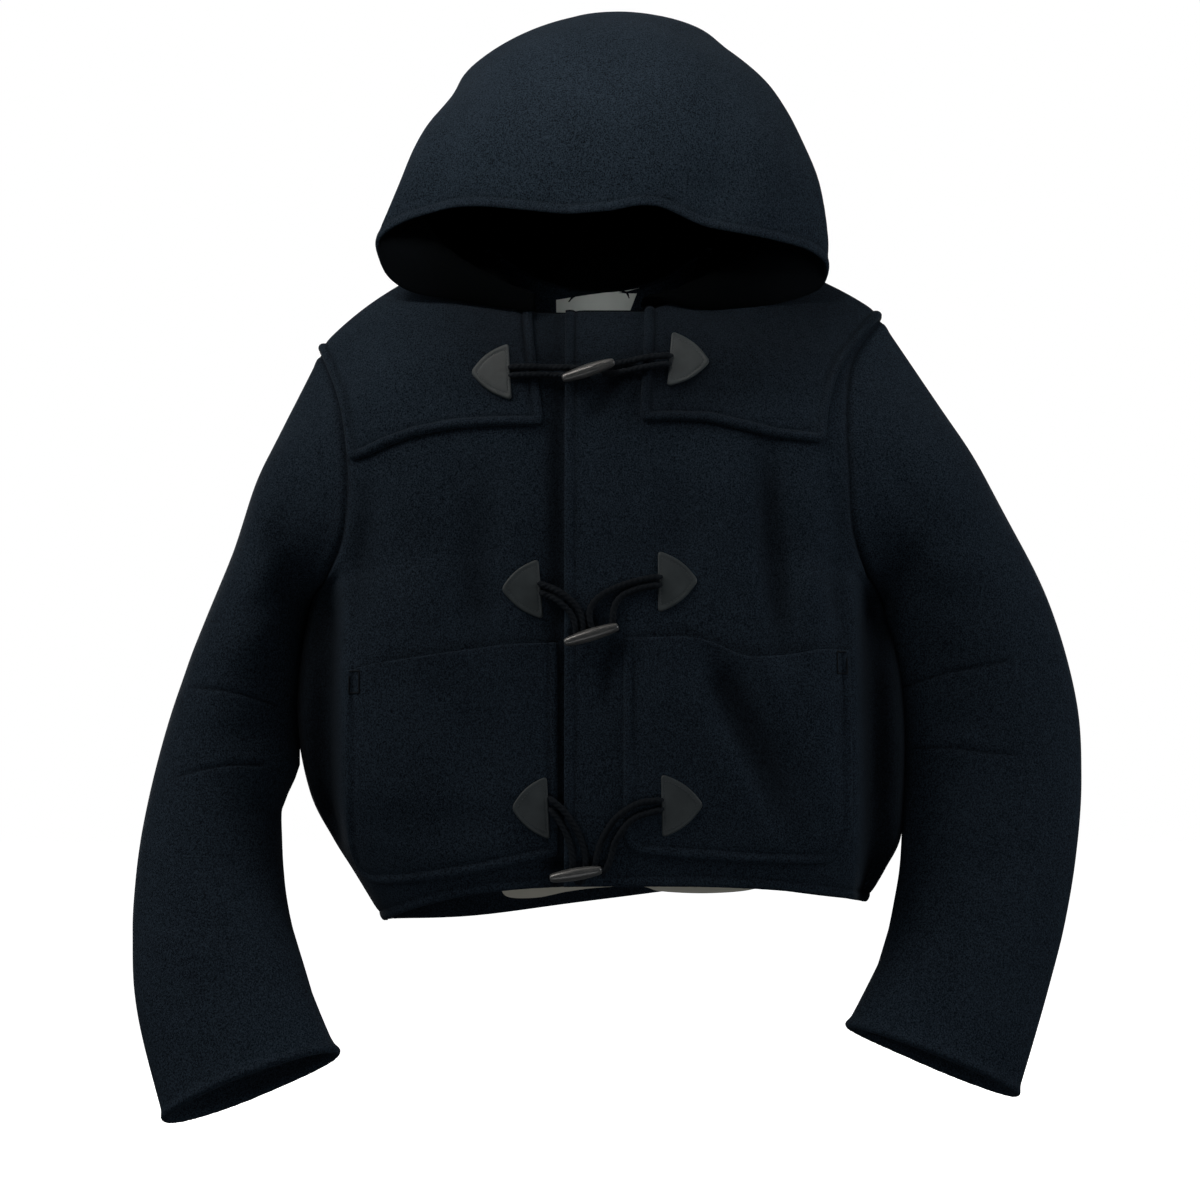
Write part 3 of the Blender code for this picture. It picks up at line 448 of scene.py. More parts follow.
# A crease is a soft trough, or a ridge where its depth is negative, along a path of x and z.
Crease = namedtuple("Crease", "path width depth")
FRONT_CREASES = [
    Crease([(146, -196), (151, -285), (160, -376)], 13, 6.5),
    Crease([(180, -215), (186, -290), (184, -368)], 15, -5.0),
    Crease([(96, -212), (112, -262), (106, -330)], 24, -2.6),
    Crease([(52, -205), (66, -262), (58, -300)], 17, 1.8),
    Crease([(16, -131), (6, -150), (-10, -176)], 8, 3.4),
    Crease([(13, -366), (8, -392), (4, -430)], 7, 3.0),
    Crease([(-97, -222), (-106, -300), (-101, -372)], 17, 3.6),
    Crease([(-170, -204), (-160, -290), (-148, -372)], 20, -4.6),
    Crease([(-206, -230), (-212, -300), (-214, -370)], 12, 3.0),
    Crease([(-120, -425), (-104, -470), (-112, -508)], 22, 2.6),
    Crease([(204, -300), (212, -350), (214, -400)], 10, 3.2),
]
BACK_CREASES = [
    Crease([(-150, -250), (-142, -370), (-150, -520)], 20, 6.0),
    Crease([(-70, -300), (-62, -420), (-70, -560)], 26, -5.0),
    Crease([(18, -270), (8, -400), (16, -540)], 18, 4.2),
    Crease([(96, -255), (104, -380), (92, -540)], 24, -4.6),
    Crease([(172, -260), (160, -380), (170, -500)], 17, 5.6),
    Crease([(-212, -282), (-170, -330), (-120, -352)], 12, 3.4),
    Crease([(210, -276), (176, -318), (140, -332)], 11, 2.8),
]


BANK, BANK_AT = 0.3, 1.9  # the cloth rises beside a trough: how much, and how many widths out
CREASE_FADE = 0.3  # how much of its length each end of a crease takes to fade


def creased(x, z, creases):
    """How far the creases move the cloth out at x and z."""
    total = np.zeros(np.broadcast(x, z).shape)
    for crease in creases:
        path = np.array(crease.path, float)
        path = curve(path, np.linspace(0, len(path) - 1, 25))
        apart = np.hypot(x[..., None] - path[:, 0], z[..., None] - path[:, 1])
        share = np.argmin(apart, axis=-1) / (len(path) - 1)
        away = apart.min(axis=-1) / crease.width
        ends = 0.35 + 0.65 * smooth_step(np.minimum(share, 1 - share) / CREASE_FADE)
        total -= crease.depth * ends * (bell(away, 1) - BANK * bell(away - BANK_AT, 1))
    return total


FOLD_LINES = [0, 0.2, 0.6, 1.3, 2.4, 4.0, 6.0, 7.4, 8.4, 9.0, 9.6, 10.6, 12.5]
SEAM_LINES = [0, 0.5, 1.2, 2.2, 3.6, 5.6, 8.5]
STITCH_IN = 9.0


def relaid(params, surface, axis, starts, ends, step):
    """The parameters with grid lines at these distances from two opposite edges, and step apart between."""
    params = np.moveaxis(params, axis, 0)
    length = lengths(surface(params))
    total = length[-1]
    starts, ends = np.array(starts, float), np.array(ends, float)[::-1]
    count = max(int((total.mean() - starts[-1] - ends[0]) / step), 2)
    fit = np.minimum(total / (starts[-1] + ends[0]) * 0.45, 1)
    middle = np.linspace(0, 1, count + 1)[1:-1, None]
    low, high = starts[-1] * fit, total - ends[0] * fit
    wanted = np.concatenate([starts[:, None] * fit, low + (high - low) * middle, total - ends[:, None] * fit])
    laid = np.empty((len(wanted), params.shape[1], 2))
    for n in range(params.shape[1]):
        for value in range(2):
            laid[:, n, value] = np.interp(wanted[:, n], length[:, n], params[:, n, value])
    return np.moveaxis(laid, 0, axis)


PANEL_STEP = 4.2


def gridded(params, surface, styles, step=PANEL_STEP):
    """The parameters with the grid lines that edges of these styles need: first and last row, then column."""
    lines = [FOLD_LINES if style in ("fold", "turned", "cuff") else SEAM_LINES for style in styles]
    for axis, (starts, ends) in enumerate(zip(lines[::2], lines[1::2])):
        params = relaid(params, surface, axis, starts, ends, step)
    return params


def normals_of(points, wrap=False, outwards=1):
    if wrap:
        across = np.roll(points, -1, axis=1) - np.roll(points, 1, axis=1)
    else:
        across = np.gradient(points, axis=1)
    along = np.gradient(points, axis=0)
    normal = np.cross(across, along) * outwards
    return normal / np.maximum(np.linalg.norm(normal, axis=-1, keepdims=True), 1e-9)


def away_from(points, edges):
    """How far each point is from the nearest of these edge lines, whose corners a row of stitches turns."""
    dense = []
    for edge in edges:
        length = lengths(edge)
        dense.append(along_line(edge, length, np.arange(0, length[-1], 0.6)))
    dense = np.concatenate(dense)
    tree = KDTree(len(dense))
    for n, co in enumerate(dense):
        tree.insert(co, n)
    tree.balance()
    found = [tree.find(co)[2] for co in points.reshape(-1, 3)]
    return np.array(found).reshape(points.shape[:2])


WELT_WAVES = ((0.9, 71, 47), (0.7, 29, 61), (0.6, 17, 19))  # strength, and length along x and z
CUFF_ROLL, CUFF_WIDTH = 6.0, 12.0
CUFF_ROLL_OUT = 0.4  # how much of the roll is on the outside
WELT_UNEVEN, STITCH_STRAY = 0.22, 0.7
SEAM_DEPTH, SEAM_BANK = 1.7, 0.6  # how far a seam draws the cloth in, and raises it beside the seam


def uneven(points):
    """A slow wave between about -1 and 1, which keeps a sewn edge from being quite even."""
    x, z = points[..., 0], points[..., 2]
    return sum(much * np.sin(x / along + z / up + along) for much, along, up in WELT_WAVES) / 2


def turned_in(away, radius):
    """How far a face draws in towards a round edge."""
    return radius * (1 - np.sqrt(np.clip(1 - (1 - np.clip(away / radius, 0, 1)) ** 2, 0, 1)))


def edged(points, normals, styles, welt_height):
    """The outer and inner face with each edge finished, and the painted shade laid along its stitch lines and
    seams. 'fold' is turned in and stitched down, 'turned' only turned in, 'cuff' turned in thick, 'seam' sewn
    to its neighbour, and 'butted' and 'plain' are left as cut. styles are for the first and last row and
    column."""
    outer, inner = np.zeros(points.shape[:2]), np.full(points.shape[:2], -CLOTH)
    groove = np.zeros(points.shape[:2])
    lines = (points[0], points[-1], points[:, 0], points[:, -1])
    away = {}
    for style in set(styles) - {"plain", "butted"}:
        away[style] = away_from(points, [line for line, found in zip(lines, styles) if found == style])
    for style in ("fold", "turned"):
        if style in away:
            turn = turned_in(away[style], CLOTH / 2)
            outer -= turn
            inner += turn
    if "cuff" in away:
        roll = 1 - smooth_step(away["cuff"] / CUFF_WIDTH)
        turn = turned_in(away["cuff"], (CLOTH + CUFF_ROLL) / 2)
        outer += CUFF_ROLL_OUT * CUFF_ROLL * roll - turn
        inner -= (1 - CUFF_ROLL_OUT) * CUFF_ROLL * roll - turn
    if "fold" in away:
        off = away["fold"] - STITCH_IN - STITCH_STRAY * uneven(points[..., [2, 1, 0]])
        welt = np.sin(np.pi * np.clip(off / STITCH_IN + 1, 0, 1)) ** 0.8
        outer += welt_height * (1 + WELT_UNEVEN * uneven(points)) * welt
        outer -= 0.25 * bell(off, 1.3) + 0.65 * bell(off, 3.6)
        # Painted shade along the stitch line.
        groove += 0.24 * bell(off, 1.6)
    if "seam" in away:
        outer -= SEAM_DEPTH * bell(away["seam"], 2.8)
        outer += SEAM_BANK * bell(away["seam"] - 7, 4)
        # Painted shade along the seam.
        groove += 0.42 * bell(away["seam"], 2.2)
    outer = np.maximum(outer, inner + 0.05)
    return points + normals * outer[..., None], points + normals * inner[..., None], groove


SEAM_OVERLAP = 0.9


def tucked(points, styles):
    """The points with each seamed edge carried a little past the seam, so that its neighbour meets it."""
    points = points.copy()
    edges = ((0,), (-1,), (slice(None), 0), (slice(None), -1))
    befores = ((1,), (-2,), (slice(None), 1), (slice(None), -2))
    for edge, before, style in zip(edges, befores, styles):
        if style in ("seam", "butted"):
            out = points[edge] - points[before]
            points[edge] = points[edge] + SEAM_OVERLAP * out / np.linalg.norm(out, axis=-1, keepdims=True)
    return points


ARMHOLE_MIDDLE = {"right": (2, -205), "left": (2, -180)}  # y and z


def side_normal(side, t):
    """Which way the cloth faces on the seam at the side of the body, where both its pieces face alike."""
    edge = body(np.full(t.shape, SIGN[side]), t)
    up = np.clip((t - UNDERARM) / 0.8, 0, 1) * np.clip((BACK_HEM - UNDERARM - t) / 0.8, 0, 1)
    y, z = ARMHOLE_MIDDLE[side]
    away = edge - [0, y, z]
    away[..., 0] = 0
    away /= np.linalg.norm(away, axis=-1, keepdims=True)
    face = body_normal(np.full(t.shape, SIGN[side] * 0.985), t) + away
    face = face * up[..., None] + np.array([SIGN[side], 0, 0]) * (1 - up[..., None])
    return face / np.linalg.norm(face, axis=-1, keepdims=True)


def shared(normals, points, line, faces, reach=7.0):
    """The normals, turned near a seam line to those that its two pieces share."""
    near = bell(np.linalg.norm(points - line, axis=-1), reach)[..., None]
    turned = normals * (1 - near) + faces * near
    return turned / np.linalg.norm(turned, axis=-1, keepdims=True)


def wall(name, outer, inner, material, groove=None, inside=0.0, coarse=4, wrap=False, flip=False):
    """A closed wall of cloth. Its inner face has only one line in so many, apart from its edges."""
    rows, columns = outer.shape[:2]
    count = rows * columns
    index = np.arange(count).reshape(rows, columns)
    i, j = np.meshgrid(np.arange(rows), np.arange(columns), indexing="ij")
    merged_i = np.clip((i // coarse) * coarse + coarse // 2, 1, rows - 2)
    merged_j = (j // coarse) * coarse
    if not wrap:
        merged_j = np.clip(merged_j + coarse // 2, 1, columns - 2)
    merged = index[merged_i, merged_j]
    border = (i == 0) | (i == rows - 1)
    if not wrap:
        border |= (j == 0) | (j == columns - 1)
    merged = np.where(border, index, merged) + count

    def cells(grid):
        """The corners of each cell of the grid, going round it."""
        nexts = np.roll(grid, -1, axis=1) if wrap else grid[:, 1:]
        heres = grid if wrap else grid[:, :-1]
        return np.stack([heres[:-1], nexts[:-1], nexts[1:], heres[1:]], axis=-1).reshape(-1, 4)

    quads, back = cells(index), cells(merged)[:, [0, 3, 2, 1]]
    if flip:
        quads, back = quads[:, ::-1], back[:, ::-1]
    triangles = np.concatenate([back[:, [0, 1, 2]], back[:, [0, 2, 3]]])
    triangles = triangles[(triangles != np.roll(triangles, 1, axis=1)).all(axis=1)]
    rims = [(index[0], True), (index[-1], False)]
    if wrap:
        rims = [(np.append(ring, ring[0]), turned) for ring, turned in rims]
    else:
        rims += [(index[:, 0], False), (index[:, -1], True)]
    strips = []
    for ring, turned in rims:
        strip = np.stack([ring[:-1], ring[1:], ring[1:] + count, ring[:-1] + count], axis=-1)
        strips.append(strip[:, ::-1] if turned != flip else strip)
    faces = quads.tolist() + triangles.tolist() + np.concatenate(strips).tolist()
    mesh = bpy.data.meshes.new(name)
    mesh.from_pydata((np.concatenate([outer.reshape(-1, 3), inner.reshape(-1, 3)]) * MM).tolist(), [], faces)
    # The groove and inside values are painted shade for the outer and the inner face, kept as an attribute
    # that darkens the melton.
    if groove is not None:
        dark = np.concatenate([groove.ravel(), np.broadcast_to(inside, groove.shape).ravel()])
        mesh.attributes.new("crevice", "FLOAT", "POINT").data.foreach_set("value", dark)
    mesh.validate()
    return placed(name, mesh, material)


RIM_ANGLE = math.radians(62)


def placed(name, data, material):
    """A new piece of the coat, without the points that no face uses."""
    shape = bmesh.new()
    shape.from_mesh(data)
    bmesh.ops.delete(shape, geom=[vert for vert in shape.verts if not vert.link_faces], context="VERTS")
    shape.to_mesh(data)
    shape.free()
    data.shade_smooth()
    data.set_sharp_from_angle(angle=RIM_ANGLE)
    data.materials.append(material)
    made = bpy.data.objects.new(name, data)
    bpy.context.scene.collection.objects.link(made)
    return made


def worn(piece, node):
    """The piece moves with the coat and stands for its CAD node."""
    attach(piece, "root")
    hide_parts(node)


def cut_out(points):
    """Works out the piece's width, length and area laid flat; nothing keeps or uses them."""
    width = np.linalg.norm(np.diff(points, axis=1), axis=-1).sum(axis=1).max()
    length = np.linalg.norm(np.diff(points, axis=0), axis=-1).sum(axis=0).max()
    down, across = points[1:, :-1] - points[:-1, :-1], points[:-1, 1:] - points[:-1, :-1]
    area = np.linalg.norm(np.cross(down, across), axis=-1).sum()


PANEL_WELT = 0.9


def sewn(node, points, normals, styles, welt_height=PANEL_WELT, painted_shade_marks=0, **built):
    """A finished piece of melton, with its edges worked, and further painted shade added to that of its
    edges, such as in darts and creases, on the body's sides and under the hood.
    """
    outer, inner, groove = edged(points, normals, styles, welt_height)
    outer, inner = (tucked(face, styles) for face in (outer, inner))
    # All the painted shade on the piece: that of its edges and the further painted shade it is given.
    groove = np.clip(groove + painted_shade_marks, 0, 1)
    piece = wall(f"melton_{node}", outer, inner, MELTON, groove, **built)
    worn(piece, node)
    cut_out(points)


def start_params(across=90, up=120):
    return np.meshgrid(np.linspace(0, 1, across), np.linspace(0, 1, up))


def front_params(side):
    """x and t over one front, from its free edge to the side and from the hem to the neck. Each depends on
    the other, and a few rounds settle them, as on the back and the yokes."""
    u, v = start_params()
    x = np.full(u.shape, FRONT_EDGE[side])
    for _ in range(12):
        t = v * neck_top(x * (SIGN[side] * x > 0), NECK_CORNER)
        x = FRONT_EDGE[side] + (column(EDGES[side], "x", t) - FRONT_EDGE[side]) * u
    return np.stack([x, t], axis=-1)


SIDE_TURN, SIDE_START, SIDE_TOP = 34.0, 222.0, -285.0
SIDE_TURN_WIDTH, SIDE_TURN_HEIGHT = 20.0, 60.0
EDGE_SHARE = 0.06  # of half the width, where the turn dies away towards the side seam


def turned_back(points, s):
    """The fronts stay flat as far as the pockets, and turn back steeply beside them."""
    past = (np.abs(points[..., 0]) - SIDE_START) / SIDE_TURN_WIDTH
    turn = smooth_step(past) * (1 - smooth_step((past - 0.9) / 1.6))
    turn = turn * smooth_step((1 - np.abs(s)) / EDGE_SHARE)
    points[..., 1] += SIDE_TURN * turn * smooth_step((SIDE_TOP - points[..., 2]) / SIDE_TURN_HEIGHT)
    return points


SIDE_DARK, SIDE_DARK_WIDTH, SIDE_DARK_TOP, SIDE_DARK_HEIGHT = 0.68, 18.0, -290.0, 70.0


def side_shade(points):
    """How dark the sides of the body are, in the shade of the arms."""
    out = smooth_step((np.abs(points[..., 0]) - SIDE_START) / SIDE_DARK_WIDTH)
    return SIDE_DARK * out * smooth_step((SIDE_DARK_TOP - points[..., 2]) / SIDE_DARK_HEIGHT)


HOOD_DARK, HOOD_DARK_REACH = 0.5, 80.0
HOOD_DARK_AT, HOOD_DARK_WIDEN = (40, -50), 1.7  # the middle as x and z, and how much wider than high


def hood_shade(points):
    """How dark the cloth is under the hood, more so on the side away from the light."""
    x, z = HOOD_DARK_AT
    near = np.hypot((points[..., 0] - x) / HOOD_DARK_WIDEN, points[..., 2] - z)
    return HOOD_DARK * (1 - smooth_step((near - HOOD_DARK_REACH) / HOOD_DARK_REACH))


def crease_shade(points, creases, strength, deepest):
    """How dark the troughs of the creases are."""
    return strength * np.clip(-creased(points[..., 0], points[..., 2], creases), 0, deepest)


CREASES_END = 0.12  # of half the width, where creases die away towards the side seam


def above_body(params, creases, out):
    """Points that lie this far above the creased body, from x and t, and the s of each."""
    x, t = params[..., 0], params[..., 1]
    s = s_of(x, t)
    base = body(s, t)
    lift = creased(base[..., 0], base[..., 2], creases) * smooth_step((1 - np.abs(s)) / CREASES_END)
    lift = lift + (out(x, t) if callable(out) else out)
    return base + body_normal(s, t) * lift[..., None], s


def on_front(side, out=0.0):
    def surface(params):
        points, s = above_body(params, FRONT_CREASES, out)
        return lapped(turned_back(points, s), side)

    return surface


EDGE_DARK, EDGE_DARK_AT, EDGE_DARK_WIDTH = 0.6, -38.0, 8.0  # painted shadow on the right front, beside the left one's edge, which stands over it

for side in SIGN:
    surface, styles = on_front(side), ("fold", "seam", "fold", "seam")
    params = gridded(front_params(side), surface, styles)
    points = surface(params)
    normals = normals_of(points, outwards=SIGN[side])
    normals = shared(normals, points, points[:, -1:], side_normal(side, params[:, -1:, 1]))
    # Painted shade: the body's sides in the shade of the arms, the cloth under the hood, a shadow beside the
    # left front's edge and the troughs of the creases.
    shaded = side_shade(points) + hood_shade(points)
    if side == "right":
        shaded = np.maximum(shaded, EDGE_DARK * bell(points[..., 0] - EDGE_DARK_AT, EDGE_DARK_WIDTH))
    shaded += crease_shade(points, FRONT_CREASES, 0.06, 6)
    sewn(f"front_{side}", points, normals, styles, painted_shade_marks=shaded, coarse=2, flip=side == "right")


def back_top(x):
    """The t of the neckline at the back, or of the shoulder seam outside it."""
    return SHOULDER + (BACK_NECK - SHOULDER) * np.sqrt(np.clip(1 - (x / NECK_HALF_WIDTH) ** 2, 0, 1))


def back_params(bottom):
    u, v = start_params(140)
    x = np.zeros(u.shape)
    for _ in range(12):
        t = back_top(x) + (bottom - back_top(x)) * v
        right, left = column(EDGES["right"], "x", t), column(EDGES["left"], "x", t)
        x = right + (left - right) * u
    return np.stack([x, t], axis=-1)


def on_back(out=0.0):
    def surface(params):
        return above_body(params, BACK_CREASES, out)[0]

    return surface


surface, styles = on_back(), ("seam", "fold", "seam", "seam")
params = gridded(back_params(BACK_HEM), surface, styles)
points = surface(params)
normals = shared(normals_of(points), points, points[:, :1], side_normal("right", params[:, :1, 1]))
normals = shared(normals, points, points[:, -1:], side_normal("left", params[:, -1:, 1]))
sewn("back", points, normals, styles)

# ---------------------------------------------------------------- sleeves
# Cut in one piece and set into the armholes, bent forwards at the elbow by two darts each. The cuffs are
# turned in and left plain. They hang clear of the body and keep the round form of an arm.

Ring = namedtuple("Ring", "x y z half_width half_depth lean swing")
SLEEVES = {
    "right": [
        Ring(-286, 4, -260, 71, 74, 74, 0),
        Ring(-305, 4, -318, 49, 72, 50, 0),
        Ring(-321.5, 3, -374, 48.5, 70, 19, 0),
        Ring(-338.5, 0, -440, 53.5, 66, 13, 3),
        Ring(-346.5, -12, -501, 59.5, 60, 5, 9),
        Ring(-349, -30, -560, 65, 55, -2, 15),
        Ring(-343, -52, -616, 71, 46, -7, 19),
        Ring(-328, -78, -671, 77, 38, -10, 22),
        Ring(-301, -108, -741, 78, 33, -22, 24),
    ],
    "left": [
        Ring(291, 2, -245, 88, 72, 66, 0),
        Ring(316, 0, -297, 75, 62, 38, 0),
        Ring(336.5, -4, -351, 78.5, 50, 17, 0),
        Ring(352, -8, -422, 82, 42, 5, 2),
        Ring(355, -14, -488, 81, 39, 0, 5),
        Ring(349, -24, -553, 79, 38, -2, 9),
        Ring(336, -36, -608, 79, 37, -7, 12),
        Ring(318.5, -50, -660, 78.5, 35, -10, 14),
        Ring(292, -72, -730, 78, 33, -23, 15),
    ],
}
ELBOW_DARTS = {
    "right": [
        [(-372, -405), (-341, -408), (-319, -412), (-306, -416), (-284, -423)],
        [(-384, -488), (-363, -482), (-345, -478), (-326, -475), (-293, -475)],
    ],
    "left": [
        [(258, -411), (285, -400), (312, -392), (346, -386), (372, -380)],
        [(274, -459), (315, -459), (346, -464), (378, -467)],
    ],
}
SLEEVE_CREASES = {  # in front and behind
    "right": (
        [
            Crease([(-262, -210), (-282, -262), (-318, -300)], 13, 3.2),
            Crease([(-272, -300), (-296, -330), (-330, -345)], 12, 3.6),
            Crease([(-300, -360), (-330, -378), (-362, -376)], 16, -2.4),
            Crease([(-296, -448), (-322, -452), (-356, -444)], 12, 2.6),
            Crease([(-372, -520), (-340, -560), (-308, -575)], 18, 2.6),
            Crease([(-400, -610), (-360, -636), (-310, -650)], 15, -2.2),
        ],
        [
            Crease([(-250, -190), (-290, -250), (-300, -310)], 15, 4.0),
            Crease([(-290, -380), (-330, -410), (-372, -400)], 13, 4.4),
            Crease([(-300, -440), (-340, -455), (-385, -440)], 12, -3.4),
            Crease([(-300, -520), (-345, -548), (-395, -530)], 15, 3.6),
            Crease([(-380, -620), (-330, -660), (-290, -664)], 18, 2.8),
        ],
    ),
    "left": (
        [
            Crease([(250, -190), (276, -240), (322, -270)], 13, 2.8),
            Crease([(262, -290), (292, -320), (334, -326)], 13, 3.6),
            Crease([(290, -350), (330, -362), (372, -350)], 17, -2.4),
            Crease([(286, -432), (320, -438), (362, -424)], 13, 2.4),
            Crease([(400, -520), (352, -556), (306, -566)], 18, 2.6),
            Crease([(390, -620), (340, -644), (290, -650)], 16, -2.2),
        ],
        [
            Crease([(244, -180), (284, -240), (300, -300)], 15, 4.2),
            Crease([(290, -372), (336, -398), (384, -386)], 14, 4.6),
            Crease([(296, -448), (340, -460), (392, -444)], 12, -3.0),
            Crease([(300, -540), (350, -560), (398, -538)], 16, 3.4),
        ],
    ),
}
SLEEVE_COLUMNS = 168
SLEEVE_STEP = 3.6
DART_WIDTH, DART_DEPTH, DART_BANK = 1.5, 1.5, 0.5
DART_DARK, DART_END = 0.5, 12.0  # the painted shade in its groove, and how far from its ends it is at its full depth

# How far the inner side of each sleeve stands towards +X, by height.
Swell = namedtuple("Swell", "z x")
INNER_SWELL = {
    "right": [
        *[Swell(-745, 13), Swell(-720, 8), Swell(-699, 2), Swell(-667, -2.5), Swell(-619, -3)],
        *[Swell(-571, -1), Swell(-515, -1), Swell(-500, 4), Swell(-486, 11), Swell(-474, 15)],
        *[Swell(-459, 14), Swell(-437, 10), Swell(-410, 6), Swell(-375, 4), Swell(-330, 1.5), Swell(-290, 0)],
    ],
    "left": [
        *[Swell(-740, -10), Swell(-705, -7), Swell(-680, -1), Swell(-649, 6), Swell(-620, 6.5)],
        *[Swell(-587, 4), Swell(-550, 1), Swell(-510, -0.5), Swell(-470, 1), Swell(-420, 2)],
        *[Swell(-375, 1), Swell(-330, 0)],
    ],
}
INNER_TURN = 2.88  # where round the sleeve it swells most
CUFF_DROP = {"right": 11.0, "left": 4.0}  # how much lower each cuff hangs than its last ring


def ring_points(side, ring, turn):
    """Points of one ring. turn is 0 at the outer side, a quarter in front and half at the body."""
    lean, swing = math.radians(ring.lean), math.radians(ring.swing)
    out = np.array([SIGN[side] * math.cos(lean), 0, math.sin(lean)])
    forward = np.array([0, -math.cos(swing), math.sin(swing)])
    centre = np.array([ring.x, ring.y, ring.z])
    return (
        centre
        + np.cos(turn)[:, None] * out * ring.half_width
        + np.sin(turn)[:, None] * forward * ring.half_depth
    )


def through(rings, row):
    """Points on smooth curves through the rings, which are one row apart."""
    return np.stack([spline(rings[:, :, axis], row) for axis in range(3)], axis=1)


def sleeve_form(side, params):
    around, row = params[..., 0].ravel(), params[..., 1].ravel()
    turn = np.pi * (SHOULDER - around) / (SHOULDER - UNDERARM)
    rings = [body(np.full(around.shape, SIGN[side]), around)]
    rings += [ring_points(side, ring, turn) for ring in SLEEVES[side]]
    points = through(np.array(rings), row)
    heights, swells = np.array(INNER_SWELL[side], float).T
    points[:, 0] += np.interp(points[:, 2], heights, swells) * np.clip(np.cos(turn - INNER_TURN), 0, 1) ** 1.5
    points[:, 2] -= CUFF_DROP[side] * smooth_step((row - len(SLEEVES[side]) + 2) / 2)
    return points.reshape(*params.shape[:2], 3)


def in_front(params):
    """1 in front of the sleeve and 0 behind it."""
    turn = np.pi * (SHOULDER - params[..., 0]) / (SHOULDER - UNDERARM)
    return smooth_step((np.sin(turn) + 0.15) / 0.3)


def dart_height(path, x):
    """The z of the dart at x."""
    path = np.array(sorted(path), float)
    return np.interp(x, path[:, 0], path[:, 1])


def within(path, x, margin):
    """1 between the ends of the path, fading over the margin to 0 at the ends."""
    low, high = min(path)[0], max(path)[0]
    return smooth_step(np.minimum(x - low, high - x) / margin)


DRAWN, DRAWN_REACH, DRAWN_END = 0.8, 15.0, 10.0


def drawn_to_dart(params, surface, path):
    """The same rows, closer together where they cross the dart."""
    points = surface(params)
    length = lengths(points)
    drawn = params.copy()
    for n in np.flatnonzero(in_front(params[:1])[0] > 0.5):
        x, z = points[:, n, 0], points[:, n, 2]
        above = z > dart_height(path, x)
        inside = within(path, x, DRAWN_END)
        crossing = np.flatnonzero(above[:-1] & ~above[1:] & (inside[1:] > 0))
        if not len(crossing):
            continue
        centre = length[crossing[0] + 1, n]
        off = length[:, n] - centre
        wanted = centre + off * (1 - DRAWN * inside[crossing[0] + 1] * bell(off, DRAWN_REACH))
        drawn[:, n, 1] = np.interp(wanted, length[:, n], params[:, n, 1])
    return drawn


for side in SIGN:
    surface = partial(sleeve_form, side)
    around = UNDERARM + 2 * (SHOULDER - UNDERARM) * np.arange(SLEEVE_COLUMNS) / SLEEVE_COLUMNS
    styles = ("seam", "cuff")
    start = np.stack(np.meshgrid(around, np.linspace(0, len(SLEEVES[side]), 150)), axis=-1)
    params = gridded(start, surface, styles, SLEEVE_STEP)
    for path in ELBOW_DARTS[side]:
        params = drawn_to_dart(params, surface, path)
    points = surface(params)
    normals = normals_of(points, wrap=True, outwards=-SIGN[side])
    x, z, ahead = points[..., 0], points[..., 2], in_front(params)
    before, behind = SLEEVE_CREASES[side]
    lift = 0.5 * creased(x, z, before) * ahead + creased(x, z, behind) * (1 - ahead)
    lift *= smooth_step(params[..., 1] / 0.6) * smooth_step((len(SLEEVES[side]) - params[..., 1]) / 0.5)
    painted_shade_marks = np.zeros(lift.shape)
    for path in ELBOW_DARTS[side]:
        off = z - dart_height(path, x)
        dart = DART_DEPTH * bell(off, DART_WIDTH) - DART_BANK * bell(np.abs(off) - 5, 3.5)
        lift -= dart * within(path, x, DART_END) * ahead
        # Painted shade along each dart's groove.
        painted_shade_marks += DART_DARK * bell(off, 1.3) * within(path, x, DART_END) * ahead
    points = points + normals * lift[..., None]
    normals = normals_of(points, wrap=True, outwards=-SIGN[side])
    normals = shared(normals, points, points[:1], side_normal(side, params[:1, :, 0]))
    sewn(f"sleeve_{side}", points, normals, styles, painted_shade_marks=painted_shade_marks, wrap=True, flip=side == "left")

# ---------------------------------------------------------------- storm yokes
# A second layer over the shoulders, in front and behind, joined on the shoulder seams. Its free edges are
# turned in and stitched, and stand out as a soft round welt with a shadow under it.

YOKE_EDGE = {
    "right": [(-226, -208), (-206, -203), (-190, -196), (-163, -187), (-131, -181), (-90, -179), (-48, -178)],
    "left": [(202, -192), (188, -191), (157, -189), (125, -182), (96, -175), (64, -174), (34, -176)],
}
YOKE_INNER = {"right": (48.0, 61.0), "left": (34.0, 40.0)}
YOKE_SET_IN = {"right": (3.0, 1.5), "left": (21.0, 1.5)}
YOKE_LOW = 9.5
BACK_YOKE_DEPTH = 15.0
YOKE_WELT = 2.5
YOKE_CORNERS = ((9, 9), (7, 7))  # width and height, outer and inner


def rounded_in(x, ends, corners):
    """How far the round corners lift a lower edge at x. Each corner is a width and a height."""
    lift = np.zeros(np.shape(x))
    for at, (width, height) in zip(ends, corners):
        near = 1 - np.clip(np.abs(x - at) / width, 0, 1)
        lift += height * (1 - np.sqrt(1 - near**2))
    return lift


